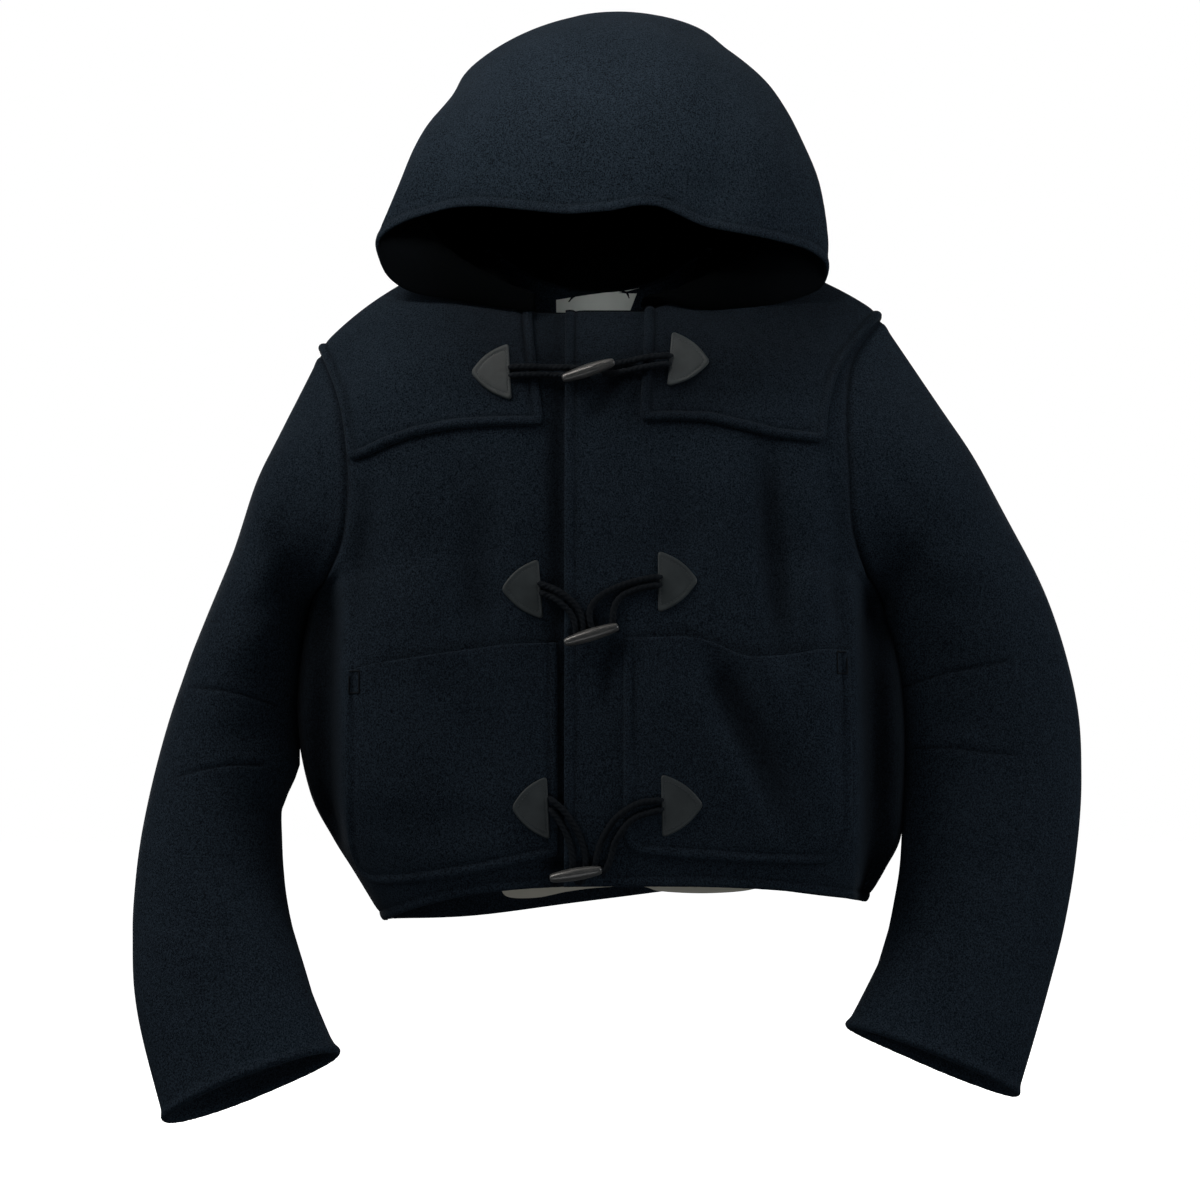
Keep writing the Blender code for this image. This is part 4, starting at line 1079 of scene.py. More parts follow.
def yoke_params(side):
    sign, (low_in, high_in), (low, high) = SIGN[side], YOKE_SET_IN[side], YOKE_INNER[side]
    edge = np.array(sorted(YOKE_EDGE[side]), float)
    u, v = start_params()
    x = np.full(u.shape, sign * low)
    for _ in range(14):
        rounded = rounded_in(x, (x[:, -1:], x[:, :1]), YOKE_CORNERS)
        bottom = front_place(x, np.interp(x, edge[:, 0], edge[:, 1]) + rounded)
        t = bottom + (neck_top(x, high) - bottom) * v
        rise = smooth_step((t - YOKE_LOW) / (SHOULDER - YOKE_LOW))
        outer_x = column(EDGES[side], "x", t) - sign * (low_in + (high_in - low_in) * rise)
        inner_x = sign * (low + (high - low) * np.clip((t - YOKE_LOW) / (FRONT_NECK - YOKE_LOW), 0, 1))
        x = inner_x + (outer_x - inner_x) * u
    return np.stack([x, t], axis=-1)


for side in SIGN:
    surface, styles = on_front(side, LAY + CLOTH), ("fold", "seam", "fold", "fold")
    points = surface(gridded(yoke_params(side), surface, styles))
    normals = normals_of(points, outwards=SIGN[side])
    # Painted shade under the hood.
    sewn(f"yoke_front_{side}", points, normals, styles, YOKE_WELT, hood_shade(points), flip=side == "right")

surface, styles = on_back(LAY + CLOTH), ("seam", "fold", "fold", "fold")
params = back_params(BACK_YOKE_DEPTH)
params[..., 0] *= 1 - YOKE_SET_IN["right"][1] / np.abs(params[:, :1, 0]).max()
points = surface(gridded(params, surface, styles))
sewn("yoke_back", points, normals_of(points), styles, YOKE_WELT)

# ---------------------------------------------------------------- patch pockets
# Two large patches, turned in and stitched down at the sides and below, with round lower corners. Their
# mouths are only turned in, so they sag open, and the left one has dropped into a deep slanting fold.

POCKET_TOP = {
    "right": [(-226, -395), (-218, -394), (-190, -388), (-158, -384), (-119, -378), (-84, -373), (-36, -370)],
    "left": [
        *[(20, -367), (77, -366), (103, -373), (116, -381)],
        *[(128, -385), (160, -382), (197, -376), (222, -376)],
    ],
}
POCKET_BOTTOM = {
    "right": [(-222, -578), (-171, -578), (-137, -574), (-101, -568), (-36, -554)],
    "left": [(19, -550), (53, -555), (124, -560), (190, -561), (222, -560)],
}
POCKET_SIDES = {"right": (-221.0, -36.0), "left": (218.0, 20.0)}
POCKET_CORNERS = {"right": ((26, 48), (3, 3)), "left": ((27, 30), (14, 15))}  # as for the yokes
POCKET_BULGE = {"right": 8.0, "left": 11.0}
POCKET_WELT = 1.2
POCKET_CREASES = {
    "right": [Crease([(-190, -520), (-150, -528), (-100, -522)], 14, 1.8)],
    "left": [
        Crease([(100, -382), (126, -440), (170, -525)], 17, 11.5),
        Crease([(60, -388), (64, -440), (84, -500)], 22, -2.4),
        Crease([(186, -390), (190, -440), (196, -500)], 13, -3.4),
    ],
}


def smooth_table(table, x):
    """The table's curve, with its corners softened."""
    table = np.array(sorted(table), float)
    return np.mean([np.interp(x + off, table[:, 0], table[:, 1]) for off in np.linspace(-9, 9, 9)], axis=0)


def pocket_edges(side, x):
    rounded = rounded_in(x, POCKET_SIDES[side], POCKET_CORNERS[side])
    return smooth_table(POCKET_BOTTOM[side], x) + rounded, smooth_table(POCKET_TOP[side], x)


def pocket_out(side):
    outer_x, inner_x = POCKET_SIDES[side]

    def out(x, t):
        z = body(s_of(x, t), t)[..., 2]
        low, high = pocket_edges(side, x)
        up = np.clip((z - low) / (high - low), 0, 1)
        across = np.clip((x - inner_x) / (outer_x - inner_x), 0, 1)
        slack = np.sin(np.pi * across) ** 0.8
        bulge = POCKET_BULGE[side] * slack * up**1.3
        held = smooth_step(slack / 0.35) * smooth_step(up / 0.12)
        return LAY + CLOTH + np.maximum(bulge + creased(x, z, POCKET_CREASES[side]) * held, 0)

    return out


for side in SIGN:
    outer_x, inner_x = POCKET_SIDES[side]
    u, v = start_params()
    x = inner_x + (outer_x - inner_x) * u
    low, high = (front_place(x, z) for z in pocket_edges(side, x))
    surface, styles = on_front(side, pocket_out(side)), ("fold", "turned", "fold", "fold")
    points = surface(gridded(np.stack([x, low + (high - low) * v], axis=-1), surface, styles))
    normals = normals_of(points, outwards=SIGN[side])
    # Painted shade in the troughs of the pocket's folds.
    shaded = crease_shade(points, POCKET_CREASES[side], 0.05, 11)
    sewn(f"pocket_{side}", points, normals, styles, POCKET_WELT, shaded, flip=side == "right")

# ---------------------------------------------------------------- hood
# Two halves joined on a seam over the head and sewn into the neckline. It stands up by itself, with the
# brim fallen a little forwards, and its lower front rests on the yokes.

Band = namedtuple("Band", "tilt reach half_width squareness sides_back shift roll")
HOOD_PIVOT = Edge(-5, -78, -64)
HOOD = [
    Band(150, 236, 148, 2.0, 0, 2, 0),
    Band(139, 298, 166, 2.05, 0, 5, 0),
    Band(126, 334, 176, 2.0, 4, 9, 0),
    Band(112, 332, 180, 1.95, 14, 16, 0),
    Band(99, 270, 187, 2.0, 27, 22, 0.01),
    Band(84, 177, 197, 2.15, 40, 20, 0.04),
    Band(66, 90, 206, 2.6, 53, 12, 0.09),
]
HOOD_REST, HOOD_NECK_REST = 8.2, 4.8
HOOD_NAPE = 0.6
HOOD_SETTLE = 6.0
HOOD_FREE = 0.5
HOOD_STEP = 4.4
HOOD_WELT = 0.6
HOOD_DEEP, HOOD_DEEP_FROM = 0.86, 190.0  # painted shade inside at the sides, and where it is fully dark
NECK_DARK = 0.95  # painted shade on the outside where it turns in to the neck
CROWN_TILT = 0.15  # how much each half still leans to its own side where they meet
NECK_MIDDLE = np.array([0, -25, -20])
SEWN_IN, SEWN_UNDER, SEWN_OVER = 3.6, 4.5, 9.0  # how far inside and under the neckline, and how soon over it

# How far the hood draws in at each height beside its crown, and how its brim waves along x.
DRAWN_IN = {
    "right": [
        *[(-60, 14), (-44, 12), (-29, 8), (-12, -1), (5, -8), (22, -4), (56, 0)],
        *[(91, 2), (108, 4), (125, 7), (142, 12), (159, 13), (176, 5), (200, 4)],
    ],
    "left": [
        *[(-60, 4), (-29, 2), (0, 0), (56, 1), (73, 3), (91, 6), (108, 8)],
        *[(125, 9), (142, 10), (159, 10), (176, 12), (193, 14), (206, 14), (222, 2)],
    ],
}
BRIM_WAVE = [
    *[(-171, 0), (-140, 1.5), (-102, -3), (-71, -7.5), (-33, -11), (-12, -8.5), (14, -4), (32, 3), (54, 4.5)],
    *[(70, -1.5), (89, -7.5), (108, -8.5), (130, -7.5), (158, -5), (189, 0)],
]
BRIM_START, BRIM_BACK = 5.3, 0.35  # the band where the wave starts, and how far it also goes back
CROWN_HALF_WIDTH, CROWN_HEIGHT = 200.0, 222.0
HOOD_CREASES = [  # seen from in front
    Crease([(-30, 12), (-22, 60), (-40, 110)], 24, 2.6),
    Crease([(50, 20), (62, 70), (50, 120)], 22, -2.4),
    Crease([(96, 4), (112, 50), (104, 100)], 17, 3.0),
    Crease([(-104, 20), (-112, 64), (-92, 112)], 19, -2.2),
    Crease([(-150, 10), (-150, 50), (-136, 92)], 14, 2.2),
    Crease([(150, 0), (152, 46), (142, 90)], 13, -2.0),
]


def shoulder_height(x, y):
    """The z of the body's top at x and y."""
    t = t_where(x, 1, y, 9.5, 14.5)
    return body(s_of(x, t), t)[..., 2]


def neckline_x(t, start):
    front = np.clip((t - FRONT_NECK) / (SHOULDER - FRONT_NECK), 0, 1)
    back = np.clip((t - SHOULDER) / (BACK_NECK - SHOULDER), 0, 1)
    widening = start + (NECK_HALF_WIDTH - start) * np.sqrt(1 - (1 - front) ** 2)
    return np.where(t <= SHOULDER, widening, NECK_HALF_WIDTH * np.sqrt(1 - back**2))


def hood_form(side, params):
    """Points of half of the hood: first how far round from its front end to the top, then the band."""
    around, row = params[..., 0].ravel(), params[..., 1].ravel()
    sign, end = SIGN[side], YOKE_INNER[side][1]
    t = FRONT_NECK + (BACK_NECK - FRONT_NECK) * around
    seam_s = s_of(sign * np.where(around < 1, neckline_x(t, end), 0), t)
    rest = HOOD_REST + (HOOD_NECK_REST - HOOD_REST) * smooth_step((around - HOOD_NAPE) / (1 - HOOD_NAPE))
    bands = [body(seam_s, t) + body_normal(seam_s, t) * rest[:, None]]
    for band in HOOD:
        tilt = math.radians(band.tilt)
        share = abs(sign * end - HOOD_PIVOT.x) / band.half_width
        start = math.asin(share ** (band.squareness / 2))
        turn = start + (math.pi - start) * around
        across = np.abs(np.sin(turn)) ** (2 / band.squareness)
        up = (1 - np.sign(np.cos(turn)) * np.abs(np.cos(turn)) ** (2 / band.squareness)) / 2
        x = HOOD_PIVOT.x + sign * band.half_width * across + (band.shift - HOOD_PIVOT.x) * up
        y = HOOD_PIVOT.y - math.cos(tilt) * band.reach * up + band.sides_back * across**2
        z = HOOD_PIVOT.z + math.sin(tilt) * band.reach * up - band.roll * (x - HOOD_PIVOT.x) * up
        bands.append(np.stack([x, y, z], axis=1))
    points = through(np.array(bands), row)
    floor_z = shoulder_height(points[:, 0], points[:, 1]) + HOOD_REST
    lifted = (points[:, 2] + floor_z + np.sqrt((points[:, 2] - floor_z) ** 2 + HOOD_SETTLE**2)) / 2
    points[:, 2] += (lifted - points[:, 2]) * smooth_step(row / HOOD_FREE)

    # The sides are drawn in beside the crown, and the brim waves.
    half = CROWN_HALF_WIDTH * np.sqrt(np.clip(1 - (points[:, 2] / CROWN_HEIGHT) ** 2, 0.02, 1))
    trim = smooth_table(DRAWN_IN[side], points[:, 2])
    points[:, 0] -= sign * trim * np.clip(np.abs(points[:, 0]) / half, 0, 1) ** 2
    wave = smooth_table(BRIM_WAVE, points[:, 0]) * smooth_step((row - BRIM_START) / (len(HOOD) - BRIM_START))
    points[:, 2] += wave
    points[:, 1] += BRIM_BACK * wave

    # Its lower edge turns down inside the neckline, to which it is sewn.
    seam, face = body(seam_s, t), body_normal(seam_s, t)
    inwards = NECK_MIDDLE - seam
    inwards -= face * np.sum(inwards * face, axis=1, keepdims=True)
    inwards /= np.linalg.norm(inwards, axis=1, keepdims=True)
    over = np.linalg.norm(bands[1] - bands[0], axis=1) * row
    near = (1 - smooth_step(over / SEWN_OVER))[:, None]
    points += (inwards * SEWN_IN - face * (rest[:, None] + SEWN_UNDER)) * near
    return points.reshape(*params.shape[:2], 3)


for side in SIGN:
    surface, styles = partial(hood_form, side), ("plain", "fold", "fold", "butted")
    start = np.stack(np.meshgrid(np.linspace(0, 1, 110), np.linspace(0, len(HOOD), 90)), axis=-1)
    params = gridded(start, surface, styles, HOOD_STEP)
    points = surface(params)
    normals = normals_of(points, outwards=SIGN[side])
    dents = creased(points[..., 0], points[..., 2], HOOD_CREASES) * smooth_step(-points[..., 1] / 60)
    dents *= smooth_step((params[..., 1] - 2.2) / 1.5)
    points = points + normals * dents[..., None]
    top_face = normals[:, -1:].copy()
    top_face[..., 0] *= CROWN_TILT
    top_face /= np.linalg.norm(top_face, axis=-1, keepdims=True)
    normals = shared(normals, points, points[:, -1:], top_face)
    # Painted shade: dark inside the hood, most at the sides, and on the outside where it turns in to the
    # neck.
    out = np.abs(points[..., 0])
    painted_inside_shade = HOOD_DEEP + (1 - HOOD_DEEP) * smooth_step((HOOD_DEEP_FROM - out) / 85)
    corner = NECK_DARK * smooth_step((104 - out) / 34) * smooth_step((-14 - points[..., 2]) / 12)
    painted_inside_shade = np.maximum(painted_inside_shade, corner)
    sewn(f"hood_{side}", points, normals, styles, HOOD_WELT, corner, inside=painted_inside_shade, flip=side == "right")

# ---------------------------------------------------------------- leather patches
# Six round-cornered triangles of smooth black leather, three on each front, with a pared edge and a row of
# stitches just inside it. Each holds down the two ends of a cord, which raise it a little where they go in.

PATCHES = {  # the straight side from top to bottom, and the tip, as x and z
    "patch_right_1": [(-80.9, -103.2), (-77.7, -156.3), (-114.5, -129.8)],
    "patch_left_1": [(63.9, -91.6), (59.0, -143.9), (97.7, -120.2)],
    "patch_right_2": [(-53.6, -296.7), (-49.4, -349.9), (-86.2, -323.7)],
    "patch_left_2": [(50.5, -289.7), (50.4, -344.7), (85.8, -316.1)],
    "patch_right_3": [(-45.8, -485.9), (-42.9, -540.8), (-76.3, -513.4)],
    "patch_left_3": [(52.4, -484.1), (53.4, -539.1), (89.3, -510.7)],
}
CORDS = {  # each from its patch round behind its toggle and back, as x and z
    "cord_right_1": [
        *[(-75.8, -126), (-52, -126), (-34, -126.5), (-20, -127.5)],
        *[(-14, -131), (-20, -134.5), (-34, -133.5), (-52, -133), (-75.4, -133.5)],
    ],
    "cord_left_1": [
        *[(59.2, -116), (40, -118.5), (20, -122), (8, -124.5)],
        *[(1, -128.5), (8, -132), (22, -130), (40, -127), (58.2, -124)],
    ],
    "cord_right_2": [
        *[(-50.5, -319.5), (-39.9, -323.8), (-30.5, -329.6), (-22.2, -337.2), (-16.6, -345.5), (-14.6, -354)],
        *[(-14.6, -362), (-18, -366), (-21, -362), (-21.2, -355), (-24.6, -346.5), (-32.4, -337.4)],
        *[(-41, -331), (-49.6, -327.6)],
    ],
    "cord_left_2": [
        *[(49, -313.6), (36, -315.8), (21.7, -319.9), (8, -325.6), (-3, -333), (-8.6, -342), (-8.6, -352)],
        *[(-5.5, -359.5), (1.5, -361), (8, -358.5), (11, -351.5), (11.6, -343), (14.6, -335)],
        *[(20.6, -329), (29.5, -325), (39, -322.3), (49, -320.8)],
    ],
    "cord_right_3": [
        *[(-41, -507), (-31, -516), (-19.5, -533), (-13, -552), (-13, -570)],
        *[(-18, -577), (-23, -570), (-24, -552), (-28.5, -537), (-35, -524), (-40.8, -517)],
    ],
    "cord_left_3": [
        *[(49.4, -507), (32, -510), (14, -522), (2, -540), (-3, -556), (-4, -564)],
        *[(0, -568.5), (5.5, -565), (9, -556), (14, -541), (28, -523), (49.8, -515.5)],
    ],
}
PATCH_BULGE, PATCH_CORNER = 4.2, 4.5
LEATHER_THICK = 1.8
ON_TOP = 0.5
PATCH_INSETS = [0, 0.12, 0.4, 0.9, 1.6, 2.1, 2.5, 2.9, 3.6, 5, 7, 9, 11]
PATCH_STITCH_IN, PATCH_GROOVE = 2.5, 0.3
PARED_THICK, PARED_WIDTH = 0.25, 0.9  # how thin the leather's edge is, and how far in it thickens
CORD_RIDGE, CORD_RIDGE_WIDTH, CORD_RIDGE_LONG = 0.5, 3.3, 9.0  # how the cords under the leather raise it
GRAIN_SCALE = 620.0


def leather_look(wire):
    place = on_piece(wire)
    grain = wire.node("TexVoronoi", {"feature": "DISTANCE_TO_EDGE"}, {"Vector": place, "Scale": GRAIN_SCALE})
    cloudy = noise(wire, place, 60.0, 3.0)
    rubbed = cloudy.node("ValToRGB", {"stops": (0.35, 0.7)}, {"Fac": cloudy})
    colour = rubbed.blend((0.018, 0.024, 0.026), (0.030, 0.037, 0.040))
    pores = noise(wire, place, 1500.0, 2.0)
    bump = bumped(wire, grain * 0.8 + pores * 0.4, 0.00025, 0.35)
    return {"Base_Color": colour, "Normal": bump, "Roughness": cloudy * 0.2 + 0.46}


LEATHER = finish("leather_black", leather_look, Specular_IOR_Level=0.35)


def thread_look(wire):
    fibre = noise(wire, on_piece(wire), 900.0)
    return {"Base_Color": fibre.blend((0.010, 0.014, 0.019), (0.030, 0.037, 0.045))}


THREAD = finish("thread_navy", thread_look, Roughness=0.6)


def faces_under(pieces):
    """The faces of the pieces, for finding what lies under the next piece."""
    points, faces = [], []
    for piece in pieces:
        mesh = piece.data
        found = np.empty(len(mesh.vertices) * 3)
        mesh.vertices.foreach_get("co", found)
        faces += [[v + len(points) for v in polygon.vertices] for polygon in mesh.polygons]
        points += found.reshape(-1, 3).tolist()
    return BVHTree.FromPolygons(points, faces)


under_cords = [f"melton_{piece}_{side}" for piece in ("front", "yoke_front", "pocket") for side in SIGN]
LAID_FRONT = faces_under([bpy.data.objects[name] for name in under_cords])


def front_y(x, z):
    """How far forwards the cloth is at x and z."""
    hit = LAID_FRONT.ray_cast(Vector((x * MM, -1, z * MM)), Vector((0, 1, 0)))[0]
    return hit.y / MM


def patch_outline(corners):
    """A triangle with rounded corners, whose two slanting sides are curved, and its middle."""
    corners = np.array(corners, float)
    middle = corners.mean(axis=0)
    sides = []
    for n in range(3):
        start, end = corners[n], corners[(n + 1) % 3]
        length = np.linalg.norm(end - start)
        away = np.array([(end - start)[1], (start - end)[0]]) / length
        away *= np.sign(np.dot(away, start - middle))
        bulge = 0 if n == 0 else PATCH_BULGE
        f = np.linspace(PATCH_CORNER / length, 1 - PATCH_CORNER / length, 22)[:, None]
        sides.append(start + (end - start) * f + away * bulge * np.sin(np.pi * f))
    ring = []
    for n in range(3):
        ring += list(sides[n])
        before, corner, after = sides[n][-1], corners[(n + 1) % 3], sides[(n + 1) % 3][0]
        for f in np.linspace(0, 1, 9)[1:-1]:
            ring.append(before * (1 - f) ** 2 + corner * 2 * f * (1 - f) + after * f**2)
    clockwise = np.cross(corners[1] - corners[0], corners[2] - corners[0]) < 0
    return np.array(ring if clockwise else ring[::-1]), middle


def tube(centres, beside, up, radii, sides, first=0):
    """Points and faces of a closed tube round the centres, with a radius for each ring or each point."""
    turns = np.arange(sides) * 2 * np.pi / sides
    spokes = np.cos(turns)[None, :, None] * beside[:, None] + np.sin(turns)[None, :, None] * up[:, None]
    points = centres[:, None] + radii[..., None] * spokes
    index = first + np.arange(len(centres) * sides).reshape(-1, sides)
    nexts = np.roll(index, -1, axis=1)
    faces = np.stack([index[1:], nexts[1:], nexts[:-1], index[:-1]], axis=-1).reshape(-1, 4).tolist()
    return points.reshape(-1, 3), [*faces, index[0].tolist(), index[-1][::-1].tolist()]


STITCH_LONG, STITCH_GAP, STITCH_THICK, STITCH_SIDES = 2.3, 0.9, 0.26, 6

# One stitch from end to end, as shares of its length and of its thread's thickness.
Stitch = namedtuple("Stitch", "share radius height")
STITCH_FORM = [
    Stitch(0, 0.35, -0.9),
    Stitch(0.18, 0.95, 0.35),
    Stitch(0.5, 1.0, 0.7),
    Stitch(0.82, 0.95, 0.35),
    Stitch(1, 0.35, -0.9),
]


def stitch_row(name, line, normals):
    """Stitches along a line of points, each a short thread that dips at its ends."""
    shares, radii, heights = np.array(STITCH_FORM).T
    length = lengths(line)
    points, faces = [], []
    for start in np.arange(STITCH_GAP, length[-1] - STITCH_LONG, STITCH_LONG + STITCH_GAP):
        at = start + shares * STITCH_LONG
        centres, up = along_line(line, length, at), along_line(normals, length, at)
        up /= np.linalg.norm(up, axis=1, keepdims=True)
        way = (centres[-1] - centres[0]) / np.linalg.norm(centres[-1] - centres[0])
        centres = centres + up * (heights * STITCH_THICK)[:, None]
        thick = (radii * STITCH_THICK)[:, None]
        stitch = tube(centres, np.cross(way, up), up, thick, STITCH_SIDES, len(points))
        points += stitch[0].tolist()
        faces += stitch[1]
    mesh = bpy.data.meshes.new(name)
    mesh.from_pydata((np.array(points) * MM).tolist(), [], faces)
    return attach(placed(name, mesh, THREAD), "root")


for name, corners in PATCHES.items():
    ring, middle = patch_outline(corners)
    inner_radius = np.linalg.norm(ring - middle, axis=1).min()
    shares = [1 - inset / inner_radius for inset in PATCH_INSETS if inset < inner_radius * 0.92]
    spots = np.concatenate([middle + (ring - middle) * share for share in (0.05, 0.35, 0.7, 1)])
    level = np.stack([np.ones(len(spots)), spots[:, 0], spots[:, 1]], axis=1)
    below = np.array([front_y(x, z) for x, z in spots])
    plane = np.linalg.lstsq(level, below, rcond=None)[0]
    plane[0] -= np.quantile(level @ plane - below, 0.9) + ON_TOP * 0.5
    route = np.array(CORDS[name.replace("patch", "cord")])
    ends = (route[0], route[-1])
    start, end = (np.array(corner, float) for corner in corners[:2])
    edge_way = (end - start) / np.linalg.norm(end - start)
    edge_out = np.array([edge_way[1], -edge_way[0]])
    edge_out *= np.sign(np.dot(edge_out, start - middle))

    def leather_height(at, inset):
        rounded = math.sqrt(1 - (1 - min(inset / PARED_WIDTH, 1)) ** 2)
        pared = PARED_THICK + (LEATHER_THICK - PARED_THICK) * rounded
        groove = PATCH_GROOVE * bell(inset - PATCH_STITCH_IN, 0.45)
        depth = max(np.dot(start - at, edge_out), 0)
        ridges = sum(bell(np.dot(at - tip, edge_way), CORD_RIDGE_WIDTH) for tip in ends)
        return pared - groove + CORD_RIDGE * min(ridges, 1.1) * bell(depth, CORD_RIDGE_LONG)

    rings = []
    for share in shares:
        inset = (1 - share) * inner_radius
        flat = middle + (ring - middle) * share
        height = np.array([leather_height(at, inset) for at in flat])
        base = plane[0] + flat @ plane[1:]
        rings.append(np.stack([flat[:, 0], base - height, flat[:, 1]], axis=1))
    under = np.stack([ring[:, 0], plane[0] + ring @ plane[1:], ring[:, 1]], axis=1)
    centre = np.array([middle[0], plane[0] + middle @ plane[1:] - LEATHER_THICK, middle[1]])
    bottom = centre + [0, LEATHER_THICK, 0]
    count = len(ring)
    points = np.concatenate([under, *rings, [centre, bottom]])
    faces = []
    for n in range(len(rings)):
        for m in range(count):
            a, b = n * count + m, n * count + (m + 1) % count
            faces.append((a, a + count, b + count, b))
    last = len(rings) * count
    top, base = len(points) - 2, len(points) - 1
    for m in range(count):
        faces.append((last + m, top, last + (m + 1) % count))
        faces.append((m, (m + 1) % count, base))
    mesh = bpy.data.meshes.new(name)
    mesh.from_pydata((points * MM).tolist(), [], faces)
    worn(placed(f"leather_{name}", mesh, LEATHER), name)
    stitched = rings[PATCH_INSETS.index(PATCH_STITCH_IN)]
    closed = np.concatenate([stitched, stitched[:1]])
    piece = stitch_row(f"stitches_{name}", closed, np.tile([0.0, -1.0, 0.0], (len(closed), 1)))

# ---------------------------------------------------------------- toggle cords
# Round twisted cord, black, looped from under its patch round behind the toggle. Those on the wearer's right
# carry the toggles, and those on the left are the loops that they are pushed through.

CORD_RADIUS = 2.9
CORD_STEP = 6.0
PLIES, LAY_LENGTH = 3, 15.0
ROPE_SIDES = 27
ROPE_CORE, ROPE_LOBES = 0.74, 0.30  # shares of its radius: between the plies, and what they add
ROPE_TIP = 0.55  # how thick it is at its ends
CORD_END, CORD_SINK = 5.0, 2.2  # how far an end goes on under the leather, and into the cloth


def cord_look(wire):
    place = on_piece(wire)
    fibre = noise(wire, place, 1600.0, 3.0, 0.6)
    colour = fibre.blend((0.0012, 0.0018, 0.0028), (0.0068, 0.0100, 0.0140))
    return {"Base_Color": colour, "Normal": bumped(wire, fibre, 0.0002, 0.5)}


CORD = finish("cord_black", cord_look, Roughness=0.8, Specular_IOR_Level=0.1)


def cord_route(line):
    """Points of the cord's middle, laid on what is under it, with its jumps made smooth."""
    dense = curve(np.array(line, float), np.linspace(0, len(line) - 1, 200))
    length = lengths(dense)
    xz = along_line(dense, length, np.linspace(0, length[-1], int(length[-1] / CORD_STEP) + 1))
    around = [(0, 0), (CORD_RADIUS, 0), (-CORD_RADIUS, 0), (0, CORD_RADIUS), (0, -CORD_RADIUS)]
    y = np.array([min(front_y(x + dx, z + dz) for dx, dz in around) for x, z in xz])
    nearest = np.array([y[max(n - 1, 0) : n + 2].min() for n in range(len(y))])
    padded = np.concatenate([nearest[:1], nearest, nearest[-1:]])
    smooth = (padded[:-2] + 2 * nearest + padded[2:]) / 4
    y = np.minimum(smooth, y) - ON_TOP - CORD_RADIUS
    return np.stack([xz[:, 0], y, xz[:, 1]], axis=1)


def rope(name, route, radius, plies, step=0.9, taper=CORD_END):
    """A twisted cord along a route. Its ends thin out where they go under the leather."""
    length = lengths(route)
    line = curve(route, np.interp(np.arange(0, length[-1], step), length, np.arange(len(route))))
    way = np.gradient(line, axis=0)
    way /= np.linalg.norm(way, axis=1, keepdims=True)
    beside = np.cross(way, [0, -1.0, 0])
    beside /= np.linalg.norm(beside, axis=1, keepdims=True)
    along = np.arange(len(line)) * step
    turns = np.arange(ROPE_SIDES) * 2 * np.pi / ROPE_SIDES
    twist = 2 * np.pi * along / LAY_LENGTH
    lobes = np.abs(np.cos((turns[None, :] - twist[:, None]) * plies / 2))
    thick = radius * (ROPE_CORE + ROPE_LOBES * lobes**0.8)
    near_end = np.minimum(along, along[-1] - along)
    thick *= (ROPE_TIP + (1 - ROPE_TIP) * smooth_step(near_end / taper))[:, None]
    points, faces = tube(line, beside, np.cross(beside, way), thick, ROPE_SIDES)
    mesh = bpy.data.meshes.new(name)
    mesh.from_pydata((points * MM).tolist(), [], faces)
    return placed(name, mesh, CORD)


routes = {}
for name, line in CORDS.items():
    route = cord_route(line)
    for end, before in ((0, 1), (-1, -2)):
        out = route[end] - route[before]
        out /= np.linalg.norm(out)
        tip = route[end] + out * CORD_END + [0, CORD_SINK, 0]
        route = np.concatenate([[tip], route]) if end == 0 else np.concatenate([route, [tip]])
    routes[name] = route
    worn(rope(f"twisted_{name}", route, CORD_RADIUS, PLIES), name)

# Each pocket is held at its outer top corner by a small box of stitches.
TACK_WIDTH, TACK_HEIGHT, TACK_THREAD = 9.0, 19.0, 0.8
TACK_IN, TACK_DOWN, TACK_LIFT = 2.5, 1.6, 0.3  # how far in and down from the corner, and out from the cloth
for side in SIGN:
    cloth = faces_under([bpy.data.objects[f"melton_pocket_{side}"]])
    x_out = POCKET_SIDES[side][0] - SIGN[side] * TACK_IN
    x_in = x_out - SIGN[side] * TACK_WIDTH
    top = smooth_table(POCKET_TOP[side], np.array([(x_out + x_in) / 2]))[0] - TACK_DOWN
    box = [(x_out, top), (x_in, top), (x_in, top - TACK_HEIGHT), (x_out, top - TACK_HEIGHT), (x_out, top)]
    line = np.concatenate([np.linspace(a, b, 6)[:-1] for a, b in zip(np.array(box), np.array(box[1:]))])
    hits = [cloth.ray_cast(Vector((x * MM, -0.3, z * MM)), Vector((0, 1, 0)))[0] for x, z in line]
    route = np.array([(x, hit.y / MM - TACK_LIFT, z) for (x, z), hit in zip(line, hits) if hit])
    piece = rope(f"bar_tack_{side}", route, TACK_THREAD, 2, step=0.8, taper=1.0)
    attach(piece, "root")

# ---------------------------------------------------------------- toggles
# Turned from dark horn, tapering to blunt ends, polished, with fine paler streaks along the grain. Each
# lies across the front edge with its two cords behind its middle.

TOGGLES = {
    "toggle_1": [(-33.3, -138.2), (12.7, -123.1)],
    "toggle_2": [(-31.1, -371.5), (16.0, -357.2)],
    "toggle_3": [(-43.2, -573.4), (1.7, -566.1)],
}
TOGGLE_RADIUS = 5.6
TOGGLE_SIDES = 48
TOGGLE_HALF = [  # radius and place, from the middle to one end
    *[(1, 0), (0.975, 0.2), (0.89, 0.5), (0.74, 0.8), (0.64, 0.9), (0.56, 0.95), (0.36, 0.985), (0, 1)],
]


